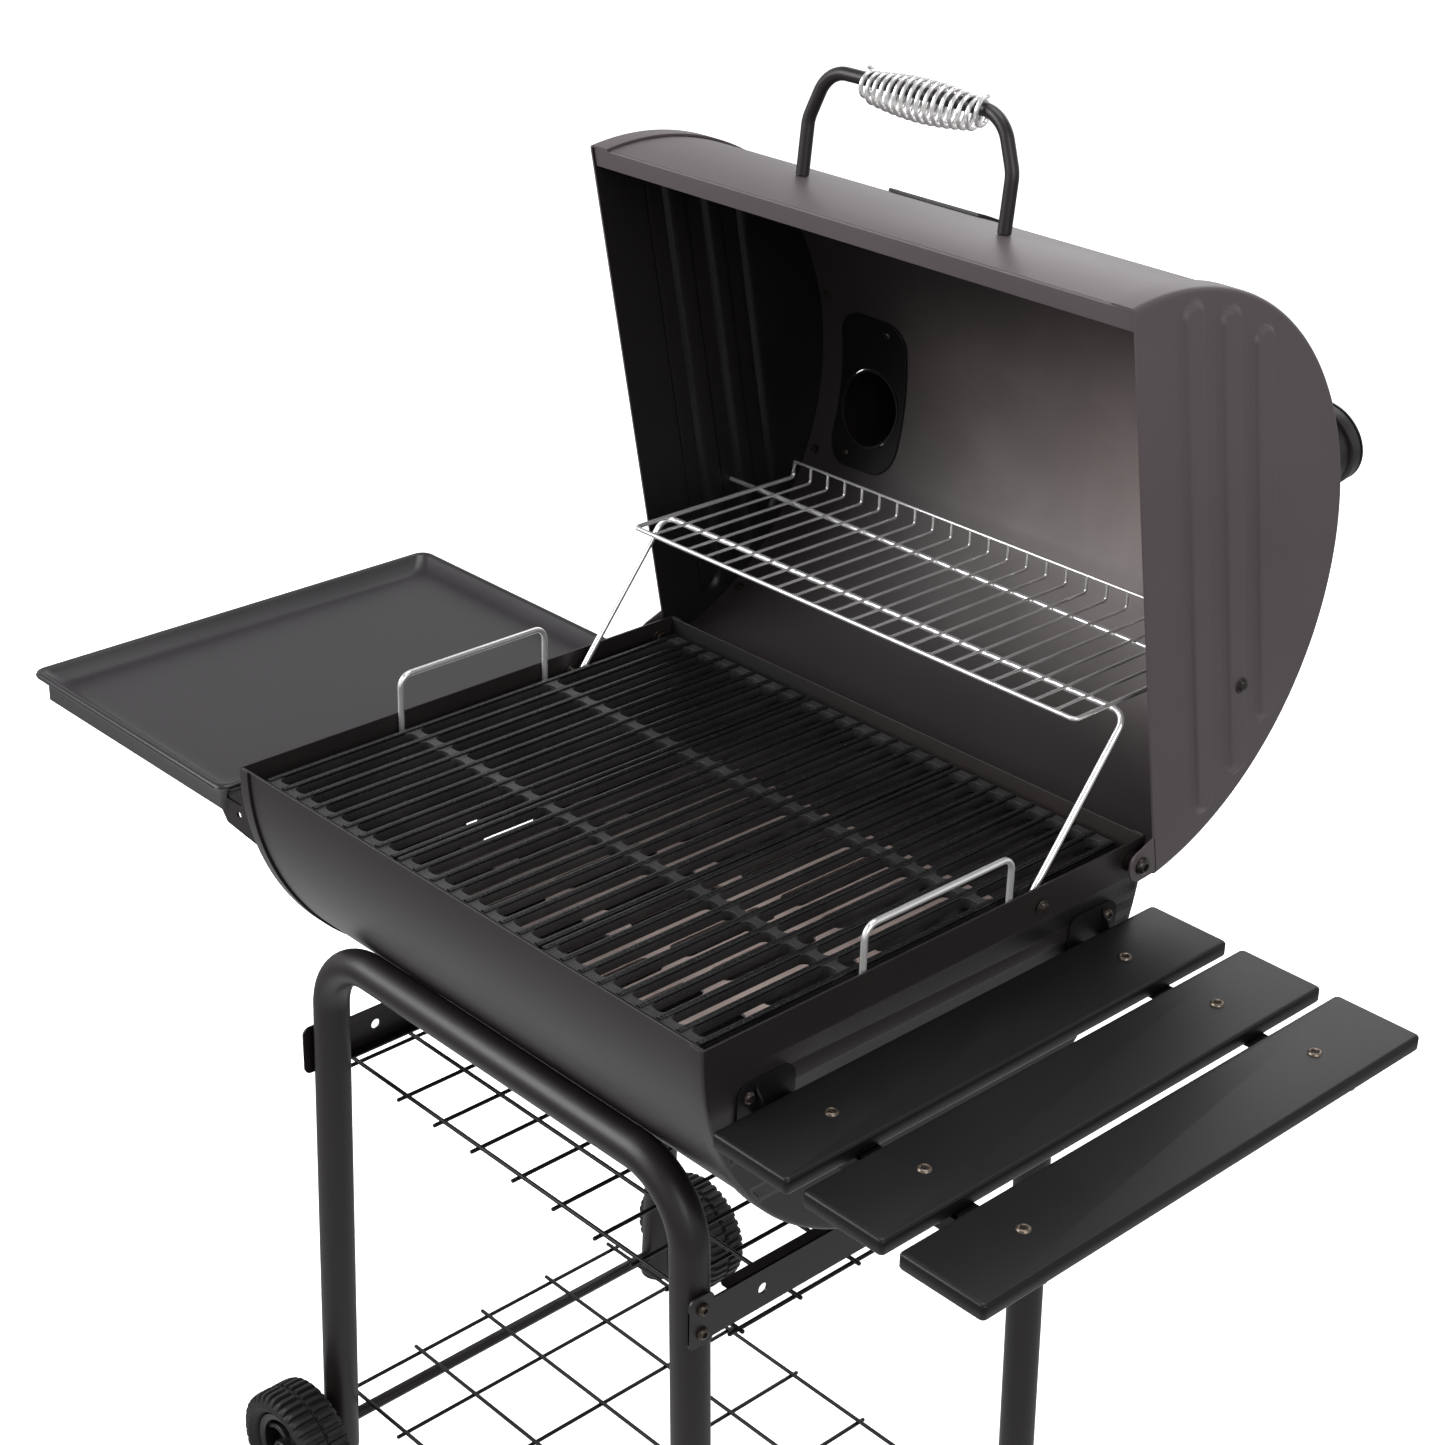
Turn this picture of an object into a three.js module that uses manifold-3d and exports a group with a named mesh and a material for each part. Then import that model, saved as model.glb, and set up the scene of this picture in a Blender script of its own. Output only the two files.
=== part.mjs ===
// Barrel smoker on an open cart: a half-drum fire barrel, a hinged half-drum lid with two
// exhaust stacks, a swing-away warming rack, a pressed side tray, a slatted side shelf and a
// wheeled cart of two arched tubes. Millimetres, +Z up, front towards -Y, right towards +X.
// Every piece is drawn from the barrel axis at rim height, and the finished object is then
// set on the ground with the middle of its footprint at the origin.
import * as THREE from 'three';
import { mergeVertices } from 'three/addons/utils/BufferGeometryUtils.js';
import Module from 'manifold-3d';

const wasm = await Module();
wasm.setup();

// ---------------------------------------------------------------- driving dimensions

const RIM_HEIGHT = 805; // barrel rim above the ground
const GROUND = -RIM_HEIGHT;
const SHEET = 2; // sheet steel
const GAP = 0.3; // clearance between neighbouring pieces
const ARC_STEPS = 30; // flats on a half round
const HOLE_SIDES = 12;
const FLATNESS = 0.001; // faces closer than this to one plane are one face

const BARREL_RADIUS = 260; // over the end-wall flange
const BARREL_HALF_LENGTH = 304.5;
const BARREL_FLANGE = 14;
const BARREL_SHELL_RADIUS = BARREL_RADIUS - SHEET - GAP;
const BARREL_WALL = [BARREL_HALF_LENGTH - SHEET, BARREL_HALF_LENGTH];

const GRATE_COUNT = 3;
const GRATE_WIDTH = 188.3;
const GRATE_PITCH = 191.1;
const GRATE_BARS = 9;
const GRATE_BAR_WIDTH = 5.5;
const GRATE_RAIL_WIDTH = 9;
const GRATE_RAILS = [-239.5, -84, 80, 239.5]; // along Y
const GRATE_TOP = -8.5;
const GRATE_BOTTOM = -20;
const LEDGE_HALF_LENGTH = 290;
const LEDGE = { y: [231, 251], height: 25 };

const FIRE_GRATE = { halfLength: 295.6, halfWidth: 226, bottom: -112, top: -109, column: 18, row: 24 };
const FIRE_HANDLE = { x: 299, y: [-84, 88], top: 38, bottom: -108.7, bend: 12, radius: 3 };

const DAMPER_PIVOT = new THREE.Vector2(-18, -100); // side plane of the left wall
const DAMPER_RADIUS = 125;
const DAMPER_SECTOR = [-128, -10]; // degrees
const DAMPER_HUB_RADIUS = 16;
const DAMPER_TAB = { reach: 18, y: [70, 92], z: [-132, -130] };
const BOLT_HOLE_RADIUS = 4.5;
const BAIL_HOLE_RADIUS = 3.9;
const VENT_OPENINGS = [
  [[-8, -112], [8, -112], [8, -160], [78, -160], [78, -182], [20, -182], [8, -165], [-8, -165]],
  [[-48, -177], [2, -177], [13, -197], [-38, -197]],
];

const HINGE = new THREE.Vector2(240, -18); // lid hinge axis in the side plane
const LID_OPEN_ANGLE = THREE.MathUtils.degToRad(79);
const LID_CENTRE = new THREE.Vector2(-7, -4);
const LID_RADIUS = 268; // over the cap flange
const LID_HALF_LENGTH = 316.5;
const LID_FLANGE = 23;
const LID_WALL = [LID_HALF_LENGTH - SHEET, LID_HALF_LENGTH];
const LID_SHELL_RADIUS = LID_RADIUS - SHEET - 2 * GAP;
const LID_SHELL_INNER = LID_SHELL_RADIUS - SHEET;
const LID_FRONT_EDGE = 2;
const LID_REAR_EDGE = 8;
const LID_LIP = 18;
const EAR_RADIUS = 15;
const CAP_RIBS = [
  { z: 68, y: [-250, 227] },
  { z: 114, y: [-228, 211] },
  { z: 156, y: [-194, 177] },
];
const RIB_HALF_WIDTH = 10; // flat top of a rib
const RIB_SLOPE = 4;
const RIB_RISE = 4;

const HANDLE_ANGLE = THREE.MathUtils.degToRad(17); // above the closed lid's front
const HANDLE_HALF_SPAN = 118;
const HANDLE_HEIGHT = 95;
const HANDLE_KNEE = 50;
const HANDLE_SHOULDER = 100;
const HANDLE_BEND = 20;
const HANDLE_RADIUS = 6;
const COIL = { x: [-60, 84], endRadius: 13, midRadius: 20, drop: 5.4 };
const BADGE = { x: [-65, 45], angles: [28.5, 37.5], proud: 3 };

const STACKS = { left: -240, right: 170 };
const STACK_Y = 78;
const STACK_RADIUS = 37.5;
const STACK_WALL = 2;
const STACK_TOP = 440;
const STACK_COLLAR = { radius: 41.5, height: 13 };
const STACK_PLATE = { halfWidth: 44, y: [-16, 136], corner: 16 };
const STACK_HOLE_RADIUS = STACK_RADIUS + 0.8;
const STACK_CAP = { radius: 42, bottom: STACK_TOP + 0.4, top: STACK_TOP + 3, pivot: 47, ear: 8 };

const RACK_ARM = new THREE.Vector2(109.6, 138.5); // lid open: hinge to rack pivot
const BAIL_PIVOT = new THREE.Vector2(124, -20);
const RACK = { halfLength: 276, wires: 24, y: [183, 396], bottom: 122.2, wire: 3, upstand: 142 };
const BAIL = { x: 290, radius: 3.2, bend: 14, foot: 6 };

const TRAY = { x: [-697, -360], halfWidth: 245, rim: -49, floor: -64, skirt: -79, corner: 14 };
const TRAY_SLOPE = 18;
const TRAY_RIM_WIDTH = 7;
const SLAT = { first: 317, width: 81.8, gap: 14.8, halfLength: 261, top: -64, thickness: 14 };
const SLAT_NAMES = ['inner', 'middle', 'outer'];
const SHELF_ARM_Y = 174;
const TRAY_SKIRT_INSET = 10;
const TRAY_ARM = { y: [229.5, 232], top: -59, bottom: -99, hole: [-352, -77] }; // bracket under the tray
const SHELF_ARM = { halfWidth: 12, web: 20, foot: [-100, -47], footReach: 50 };
const NUT_RADIUS = 7;

const LEG_RADIUS = 17;
const ARCH_Y = 213;
const ARCH_TOP = -174;
const ARCH_HALF_SPAN = 243; // between leg centres, where the splay starts
const LEG_SPLAY = 0.035;
const SPLAY_START = -200;
const ARCH_BEND = 66;
const LEFT_LEG_END = -768;
const RIGHT_LEG_END = GROUND + 4.3;
const CROSSBAR = {
  x: [265.4, 267.4], tab: [-318, -268], web: [-314, -276], halfLength: 232, tabLength: 27,
  lip: 11, lipHalfLength: 188, holeY: 150,
};
const STORAGE_SHELF = {
  x: [-268, -192, -137, -82, -23, 33, 89, 138, 182, 260],
  y: [-172, -105, -35, 35, 105, 172],
  z: [-330, -326],
};
const BOTTOM_SHELF = {
  x: [-281, -192, -96, 0, 96, 192, 281],
  y: [-186.6, -99, -11.4, 76.2, 163.8],
  z: [-724, -720],
};
const SHELF_WIRE = 4;

const WHEEL_RADIUS = 64;
const WHEEL_WIDTH = 52;
const WHEEL_Y = 264;
const AXLE = { x: -263, z: GROUND + WHEEL_RADIUS, radius: 6 };
const HUB_RADIUS = 43;
const TYRE_BORE = HUB_RADIUS + 0.8;
const WHEEL_SIDES = 24;

// ---------------------------------------------------------------- finishes

/** A fresh material of one finish. */
const finish = (color, roughness, metalness) => () =>
  new THREE.MeshStandardMaterial({ color, roughness, metalness });

const charcoalPaint = finish(0x453f42, 0.5, 0.3);
const blackPaint = finish(0x1c1b1d, 0.45, 0.3);
const castIron = finish(0x1a191b, 0.7, 0.5);
const chrome = finish(0xc9c7c4, 0.2, 1);
const boltSteel = finish(0x3a3431, 0.4, 0.8);
const zincSteel = finish(0xb08a4a, 0.35, 0.9);
const tyreRubber = finish(0x3a302b, 0.85, 0);
const hubPlastic = finish(0x141414, 0.5, 0);

// ---------------------------------------------------------------- solids

/** The same surface with shared vertices, no slivers and its faces pointing out. */
function closed(geometry) {
  const bare = new THREE.BufferGeometry();
  bare.setAttribute('position', geometry.getAttribute('position'));
  if (geometry.index) bare.setIndex(geometry.index);
  const merged = mergeVertices(bare, 1e-4);
  const corners = [...merged.index.array];
  const triangles = [];
  for (let i = 0; i < corners.length; i += 3) {
    const [a, b, c] = corners.slice(i, i + 3);
    if (a !== b && b !== c && c !== a) triangles.push([a, b, c]);
  }
  const point = (i) => new THREE.Vector3().fromBufferAttribute(merged.attributes.position, i);
  const volume = triangles.reduce((sum, [a, b, c]) => sum + point(a).dot(point(b).cross(point(c))), 0);
  const outward = volume < 0 ? triangles.map(([a, b, c]) => [a, c, b]) : triangles;
  merged.setIndex(outward.flat());
  return merged;
}

/** A closed geometry as a solid that can be joined and cut. */
function solid(geometry) {
  const { attributes, index } = closed(geometry);
  return new wasm.Manifold(new wasm.Mesh({
    numProp: 3,
    vertProperties: new Float32Array(attributes.position.array),
    triVerts: new Uint32Array(index.array),
  }));
}

/** A solid's surface as a geometry, with the flat faces of its pieces run together. */
function surfaceOf(body) {
  const { vertProperties, triVerts } = body.asOriginal().simplify(FLATNESS).getMesh();
  const geometry = new THREE.BufferGeometry();
  geometry.setAttribute('position', new THREE.BufferAttribute(vertProperties, 3));
  geometry.setIndex(new THREE.BufferAttribute(triVerts, 1));
  return geometry;
}

const joined = (...pieces) => surfaceOf(pieces.map(solid).reduce((a, b) => a.add(b)));
const cut = (base, ...tools) => surfaceOf(tools.map(solid).reduce((a, b) => a.subtract(b), solid(base)));
const common = (a, b) => surfaceOf(solid(a).intersect(solid(b)));

/** The same piece on the other side of the middle plane. */
const mirrored = (geometry) => closed(geometry.clone().scale(-1, 1, 1));

/** A named piece with a material of its own. */
function piece(name, geometry, material) {
  const mesh = new THREE.Mesh(closed(geometry), material());
  mesh.name = name;
  return mesh;
}

// ---------------------------------------------------------------- outlines

const points = (pairs) => pairs.map(([x, y]) => new THREE.Vector2(x, y));
const outline = (pairs) => new THREE.Shape(points(pairs));

/** Points of an arc, from one angle to another, in radians. */
function arc(centre, radius, from, to, steps) {
  return Array.from({ length: steps + 1 }, (_, i) => {
    const angle = from + ((to - from) * i) / steps;
    return new THREE.Vector2(centre.x + radius * Math.cos(angle), centre.y + radius * Math.sin(angle));
  });
}

/** A many-sided disc. */
function disc(centre, radius, sides) {
  return new THREE.Shape(arc(centre, radius, 0, 2 * Math.PI * (1 - 1 / sides), sides - 1));
}

/** A curved strip between two radii. */
function band(centre, outer, inner, from, to, steps) {
  const inside = arc(centre, inner, to, from, steps);
  return new THREE.Shape([...arc(centre, outer, from, to, steps), ...inside]);
}

const rectangle = ([x0, x1], [y0, y1]) => outline([[x0, y0], [x1, y0], [x1, y1], [x0, y1]]);

/** A rectangle with round corners. */
function roundedRectangle([x0, x1], [y0, y1], radius, steps = 4) {
  const corner = (x, y, quarter) => {
    const start = (quarter * Math.PI) / 2;
    return arc(new THREE.Vector2(x, y), radius, start, start + Math.PI / 2, steps);
  };
  return new THREE.Shape([
    ...corner(x1 - radius, y1 - radius, 0),
    ...corner(x0 + radius, y1 - radius, 1),
    ...corner(x0 + radius, y0 + radius, 2),
    ...corner(x1 - radius, y0 + radius, 3),
  ]);
}

const evenLines = (from, to, count) =>
  Array.from({ length: count }, (_, i) => from + ((to - from) * i) / (count - 1));

// ---------------------------------------------------------------- extrusions

const X_AXIS = new THREE.Vector3(1, 0, 0);
const Y_AXIS = new THREE.Vector3(0, 1, 0);
const Z_AXIS = new THREE.Vector3(0, 0, 1);
const SIDE_PLANE = new THREE.Matrix4().makeBasis(Y_AXIS, Z_AXIS, X_AXIS);
const FRONT_PLANE = new THREE.Matrix4().makeBasis(X_AXIS, Z_AXIS, Y_AXIS.clone().negate());

const extrude = (shape, depth) => new THREE.ExtrudeGeometry(shape, { depth, bevelEnabled: false });

/** A shape drawn in Y and Z, carried along X. */
const alongX = (shape, [from, to]) =>
  extrude(shape, to - from).applyMatrix4(SIDE_PLANE).translate(from, 0, 0);

/** A shape drawn in X and Z, carried along Y. */
const alongY = (shape, [from, to]) =>
  extrude(shape, to - from).applyMatrix4(FRONT_PLANE).translate(0, to, 0);

/** A shape drawn in X and Y, carried along Z. */
const alongZ = (shape, [from, to]) => extrude(shape, to - from).translate(0, 0, from);

/** A rectangular block between two corners. */
function block([x0, x1], [y0, y1], [z0, z1]) {
  const box = new THREE.BoxGeometry(x1 - x0, y1 - y0, z1 - z0);
  return box.translate((x0 + x1) / 2, (y0 + y1) / 2, (z0 + z1) / 2);
}

/** A flat grid of bars centred on the given lines, framed by the outermost ones. */
function grid(xLines, yLines, xWidth, yWidth, z) {
  const about = (line, width) => [line - width / 2, line + width / 2];
  const xSpan = [xLines[0] - xWidth / 2, xLines.at(-1) + xWidth / 2];
  const ySpan = [yLines[0] - yWidth / 2, yLines.at(-1) + yWidth / 2];
  return joined(
    ...xLines.map((x) => block(about(x, xWidth), ySpan, z)),
    ...yLines.map((y) => block(xSpan, about(y, yWidth), z)),
  );
}

/** A profile of [radius, height] pairs turned about an upright axis. */
function turned(profile, sides) {
  return closed(new THREE.LatheGeometry(points(profile), sides).rotateX(Math.PI / 2));
}

/** The same, turned about an axis along X through a point of the side plane. */
const turnedX = (profile, centre, sides) =>
  turned(profile, sides).rotateY(Math.PI / 2).translate(0, centre.x, centre.y);

/** A route with a station at each of its points, and none between. */
class Route extends THREE.Curve {
  constructor(stations) {
    super();
    this.stations = stations;
  }

  getPoint(t) {
    const place = t * (this.stations.length - 1);
    const i = Math.min(Math.floor(place), this.stations.length - 2);
    return this.stations[i].clone().lerp(this.stations[i + 1], place - i);
  }

  getPointAt(t) {
    return this.getPoint(t);
  }

  getTangentAt(t) {
    const last = this.stations.length - 1;
    const i = Math.round(t * last);
    const heading = (a, b) => this.stations[b].clone().sub(this.stations[a]).normalize();
    const before = heading(Math.max(i - 1, 0), Math.max(i, 1));
    return before.add(heading(Math.min(i, last - 1), Math.min(i + 1, last))).normalize();
  }
}

/** Corner points with each inner corner rounded to one bend radius. */
function bent(corners, radius, steps) {
  const stations = [corners[0]];
  for (let i = 1; i < corners.length - 1; i += 1) {
    const back = corners[i - 1].clone().sub(corners[i]).normalize();
    const ahead = corners[i + 1].clone().sub(corners[i]).normalize();
    const half = back.angleTo(ahead) / 2;
    const sweep = Math.PI - 2 * half;
    const centre = back.clone().add(ahead).setLength(radius / Math.sin(half)).add(corners[i]);
    const start = back.multiplyScalar(radius / Math.tan(half)).add(corners[i]).sub(centre);
    const end = ahead.multiplyScalar(radius / Math.tan(half)).add(corners[i]).sub(centre);
    for (let k = 0; k <= steps; k += 1) {
      const reach = (k / steps) * sweep;
      const from = start.clone().multiplyScalar(Math.sin(sweep - reach) / Math.sin(sweep));
      stations.push(from.addScaledVector(end, Math.sin(reach) / Math.sin(sweep)).add(centre));
    }
  }
  return [...stations, corners.at(-1)];
}

/** A solid bar along a route. */
function rod(stations, radius, sides) {
  const section = disc(new THREE.Vector2(), radius, sides);
  const extrudePath = new Route(stations);
  return new THREE.ExtrudeGeometry(section, { steps: stations.length - 1, extrudePath, bevelEnabled: false });
}

/** A round pin along X with a wider head at each end; each step is [x, radius]. */
function stepped(steps, centre, sides = HOLE_SIDES) {
  const profile = [[0, steps[0][0]]];
  for (let i = 0; i < steps.length - 1; i += 1) {
    profile.push([steps[i][1], steps[i][0]], [steps[i][1], steps[i + 1][0]]);
  }
  profile.push([0, steps.at(-1)[0]]);
  return turnedX(profile, centre, sides);
}

/** A washer or spacer along X. */
function ringX([from, to], centre, outer, inner, sides = HOLE_SIDES) {
  const shape = disc(centre, outer, sides);
  shape.holes.push(disc(centre, inner, sides));
  return alongX(shape, [from, to]);
}

// ---------------------------------------------------------------- barrel

/** One end wall with its flange over the shell, on the right side. */
function barrelEnd() {
  const wall = new THREE.Shape(arc(new THREE.Vector2(), BARREL_RADIUS, Math.PI, 2 * Math.PI, ARC_STEPS));
  wall.holes.push(disc(HINGE, BOLT_HOLE_RADIUS, HOLE_SIDES), disc(BAIL_PIVOT, BAIL_HOLE_RADIUS, HOLE_SIDES));
  const flange = band(
    new THREE.Vector2(), BARREL_RADIUS, BARREL_RADIUS - SHEET, Math.PI, 2 * Math.PI, ARC_STEPS,
  );
  const flangeSpan = [BARREL_HALF_LENGTH - BARREL_FLANGE, BARREL_HALF_LENGTH];
  return joined(alongX(wall, BARREL_WALL), alongX(flange, flangeSpan));
}

/** The left end wall, with the air openings and the damper's pivot hole. */
function ventedEnd() {
  const through = [-BARREL_HALF_LENGTH - 1, -BARREL_HALF_LENGTH + SHEET + 1];
  const pivotHole = alongX(disc(DAMPER_PIVOT, BOLT_HOLE_RADIUS, HOLE_SIDES), through);
  return cut(mirrored(barrelEnd()), pivotHole, ...VENT_OPENINGS.map((o) => alongX(outline(o), through)));
}

/** Angle strip that carries the cooking grates along the front or the rear. */
function grateLedge(side) {
  const top = GRATE_BOTTOM - GAP;
  const [inner, outer] = LEDGE.y;
  const low = top - LEDGE.height;
  const angle = outline([
    [inner, top], [outer, top], [outer, low], [outer - SHEET, low],
    [outer - SHEET, top - SHEET], [inner, top - SHEET],
  ].map(([y, z]) => [side * y, z]));
  return alongX(angle, [-LEDGE_HALF_LENGTH, LEDGE_HALF_LENGTH]);
}

/** One cast cooking grate about its place along X. */
function cookingGrate(x) {
  const reach = (GRATE_WIDTH - GRATE_BAR_WIDTH) / 2;
  const bars = evenLines(x - reach, x + reach, GRATE_BARS);
  return grid(bars, GRATE_RAILS, GRATE_BAR_WIDTH, GRATE_RAIL_WIDTH, [GRATE_BOTTOM, GRATE_TOP]);
}

/** Slotted plate that holds the charcoal. */
function fireGrate() {
  const { halfLength, halfWidth, bottom, top, column, row } = FIRE_GRATE;
  const columns = evenLines(column / 2 - halfLength, halfLength - column / 2, 12);
  const rows = evenLines(row / 2 - halfWidth, halfWidth - row / 2, 4);
  return grid(columns, rows, column, row, [bottom, top]);
}

/** Wire loop that lifts one end of the fire grate. */
function fireHandle(side) {
  const [front, rear] = FIRE_HANDLE.y;
  const corners = [
    [front, FIRE_HANDLE.bottom], [front, FIRE_HANDLE.top], [rear, FIRE_HANDLE.top], [rear, FIRE_HANDLE.bottom],
  ].map(([y, z]) => new THREE.Vector3(side * FIRE_HANDLE.x, y, z));
  return rod(bent(corners, FIRE_HANDLE.bend, 3), FIRE_HANDLE.radius, 6);
}

/** Fan-shaped shutter outside the left wall, with openings that match the wall's. */
function sideDamper() {
  const outer = -BARREL_HALF_LENGTH - GAP;
  const [from, to] = DAMPER_SECTOR.map(THREE.MathUtils.degToRad);
  const middle = (from + to) / 2 + Math.PI;
  const fan = new THREE.Shape([
    ...arc(DAMPER_PIVOT, DAMPER_RADIUS, from, to, 12),
    ...arc(DAMPER_PIVOT, DAMPER_HUB_RADIUS, middle - 1, middle + 1, 4),
  ]);
  fan.holes.push(disc(DAMPER_PIVOT, BOLT_HOLE_RADIUS, HOLE_SIDES));
  const plate = alongX(fan, [outer - SHEET, outer]);
  const tab = block([outer - DAMPER_TAB.reach, outer - SHEET / 2], DAMPER_TAB.y, DAMPER_TAB.z);
  const openings = VENT_OPENINGS.map((o) => alongX(outline(o), [outer - SHEET - 1, outer + 1]));
  return cut(joined(plate, tab), ...openings);
}

/** Pivot bolt of the side damper. */
function damperPin() {
  const wall = -BARREL_HALF_LENGTH;
  const head = wall - GAP - SHEET - GAP;
  return stepped(
    [[head - 5, 8], [head, 4], [wall + SHEET + GAP, 6.5], [wall + SHEET + 4, 0]], DAMPER_PIVOT,
  );
}

function barrelPieces() {
  const shell = band(
    new THREE.Vector2(), BARREL_SHELL_RADIUS, BARREL_SHELL_RADIUS - SHEET, Math.PI, 2 * Math.PI, ARC_STEPS,
  );
  const shellReach = BARREL_HALF_LENGTH - SHEET - GAP;
  const grateNames = ['left', 'middle', 'right'];
  return [
    piece('barrel_shell', alongX(shell, [-shellReach, shellReach]), charcoalPaint),
    piece('barrel_end_left', ventedEnd(), charcoalPaint),
    piece('barrel_end_right', barrelEnd(), charcoalPaint),
    piece('grate_ledge_front', grateLedge(-1), blackPaint),
    piece('grate_ledge_rear', grateLedge(1), blackPaint),
    ...grateNames.map((name, i) =>
      piece(`cooking_grate_${name}`, cookingGrate((i - (GRATE_COUNT - 1) / 2) * GRATE_PITCH), castIron)),
    piece('fire_grate', fireGrate(), blackPaint),
    piece('fire_handle_left', fireHandle(-1), chrome),
    piece('fire_handle_right', fireHandle(1), chrome),
    piece('side_damper', sideDamper(), charcoalPaint),
    piece('damper_pin', damperPin(), boltSteel),
  ];
}

// ---------------------------------------------------------------- lid, drawn closed

/** Angle above the horizontal at which a circle round the lid centre reaches a height. */
const riseTo = (height, radius) => Math.asin((height - LID_CENTRE.y) / radius);

/** Rolled lid sheet with a return lip along its front edge. */
function lidShell() {
  const rear = riseTo(LID_REAR_EDGE, LID_SHELL_RADIUS);
  const front = Math.PI - riseTo(LID_FRONT_EDGE, LID_SHELL_RADIUS);
  const lipTop = LID_FRONT_EDGE + SHEET;
  const innerFront = Math.PI - riseTo(lipTop, LID_SHELL_INNER);
  const outside = arc(LID_CENTRE, LID_SHELL_RADIUS, rear, front, ARC_STEPS);
  const inside = arc(LID_CENTRE, LID_SHELL_INNER, innerFront, rear, ARC_STEPS);
  const lipEnd = outside.at(-1).x + LID_LIP;
  const profile = new THREE.Shape([
    ...outside, new THREE.Vector2(lipEnd, LID_FRONT_EDGE), new THREE.Vector2(lipEnd, lipTop), ...inside,
  ]);
  const reach = LID_WALL[0] - GAP;
  const sheet = alongX(profile, [-reach, reach]);
  const boltHoles = [-1, 1].map((side) => handleBore(side, 3.6));
  return cut(sheet, ...Object.values(STACKS).map((x) => stackBore(x)), ...boltHoles);
}

/** Outline of a lid cap in the side plane, with its hinge ear. */
function capOutline() {
  const rear = riseTo(0, LID_RADIUS);
  return new THREE.Shape([
    ...arc(LID_CENTRE, LID_RADIUS, rear, Math.PI - rear, ARC_STEPS),
    new THREE.Vector2(HINGE.x - EAR_RADIUS - 3, 0),
    ...arc(HINGE, EAR_RADIUS, Math.PI, Math.PI * 1.9, 8),
  ]);
}

/** A pressed rib of the right cap, with its top the given distance outside the wall. */
function rib({ z, y: [rear, front] }, lift) {
  const ends = [front - RIB_HALF_WIDTH, rear + RIB_HALF_WIDTH];
  const shape = new THREE.Shape([
    ...arc(new THREE.Vector2(ends[0], z), RIB_HALF_WIDTH, -Math.PI / 2, Math.PI / 2, 3),
    ...arc(new THREE.Vector2(ends[1], z), RIB_HALF_WIDTH, Math.PI / 2, (3 * Math.PI) / 2, 3),
  ]);
  const sloped = new THREE.ExtrudeGeometry(shape, {
    depth: SHEET, bevelThickness: RIB_RISE, bevelSize: RIB_SLOPE, bevelSegments: 1,
  });
  return sloped.applyMatrix4(SIDE_PLANE).translate(LID_HALF_LENGTH - SHEET + lift, 0, 0);
}

/** Right lid cap: wall, flange over the shell and three pressed ribs. */
function lidCap() {
  const wall = capOutline();
  wall.holes.push(disc(HINGE, BOLT_HOLE_RADIUS, HOLE_SIDES));
  const rear = riseTo(LID_REAR_EDGE, LID_RADIUS);
  const front = Math.PI - riseTo(0, LID_RADIUS);
  const flange = band(LID_CENTRE, LID_RADIUS, LID_RADIUS - SHEET, rear, front, ARC_STEPS);
  const flangeSpan = [LID_HALF_LENGTH - LID_FLANGE, LID_HALF_LENGTH];
  const ribs = CAP_RIBS.map((r) => rib(r, 0));
  const grooves = CAP_RIBS.map((r) => rib(r, -SHEET));
  const pressed = joined(alongX(wall, LID_WALL), alongX(flange, flangeSpan), ...ribs);
  const through = [LID_HALF_LENGTH - 4, LID_HALF_LENGTH + 9];
  const pivotHole = alongX(disc(rackPivotClosed(), BAIL_HOLE_RADIUS, HOLE_SIDES), through);
  const inside = block([LID_WALL[0] - 12, LID_WALL[0]], [-240, 230], [50, 175]);
  return cut(pressed, ...grooves, inside, pivotHole);
}

/** The rack pivot's place in the closed lid. */
function rackPivotClosed() {
  return RACK_ARM.clone().rotateAround(new THREE.Vector2(), LID_OPEN_ANGLE).add(HINGE);
}

/** A point above the lid sheet where the handle stands, height measured along its legs. */
function handlePoint(x, height) {
  const reach = LID_SHELL_RADIUS + height;
  return new THREE.Vector3(
    x, LID_CENTRE.x - reach * Math.cos(HANDLE_ANGLE), LID_CENTRE.y + reach * Math.sin(HANDLE_ANGLE),
  );
}

/** Hole for a handle bolt through the lid sheet. */
const handleBore = (side, radius) =>
  rod([-10, 10].map((h) => handlePoint(side * HANDLE_HALF_SPAN, h)), radius, HOLE_SIDES);

function handleRod() {
  const corners = [
    [-HANDLE_HALF_SPAN, 2 * GAP], [-HANDLE_HALF_SPAN, HANDLE_KNEE], [-HANDLE_SHOULDER, HANDLE_HEIGHT],
    [HANDLE_SHOULDER, HANDLE_HEIGHT], [HANDLE_HALF_SPAN, HANDLE_KNEE], [HANDLE_HALF_SPAN, 2 * GAP],
  ].map(([x, h]) => handlePoint(x, h));
  return rod(bent(corners, HANDLE_BEND, 3), HANDLE_RADIUS, 10);
}

/** Outer shape of the wound grip, hollow where the rod runs through it. */
function handleCoil() {
  const [start, end] = COIL.x;
  const bulge = (t) => COIL.endRadius + (COIL.midRadius - COIL.endRadius) * Math.sin(Math.PI * t);
  const stations = evenLines(0, 1, 9);
  const profile = [[0, start], ...stations.map((t) => [bulge(t), start + t * (end - start)]), [0, end]];
  const middle = handlePoint(0, HANDLE_HEIGHT - COIL.drop);
  const barrel = turnedX(profile, new THREE.Vector2(middle.y, middle.z), 12);
  const bore = rod([start - 5, end + 5].map((x) => handlePoint(x, HANDLE_HEIGHT)), HANDLE_RADIUS + 0.5, 12);
  return cut(barrel, bore);
}

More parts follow.
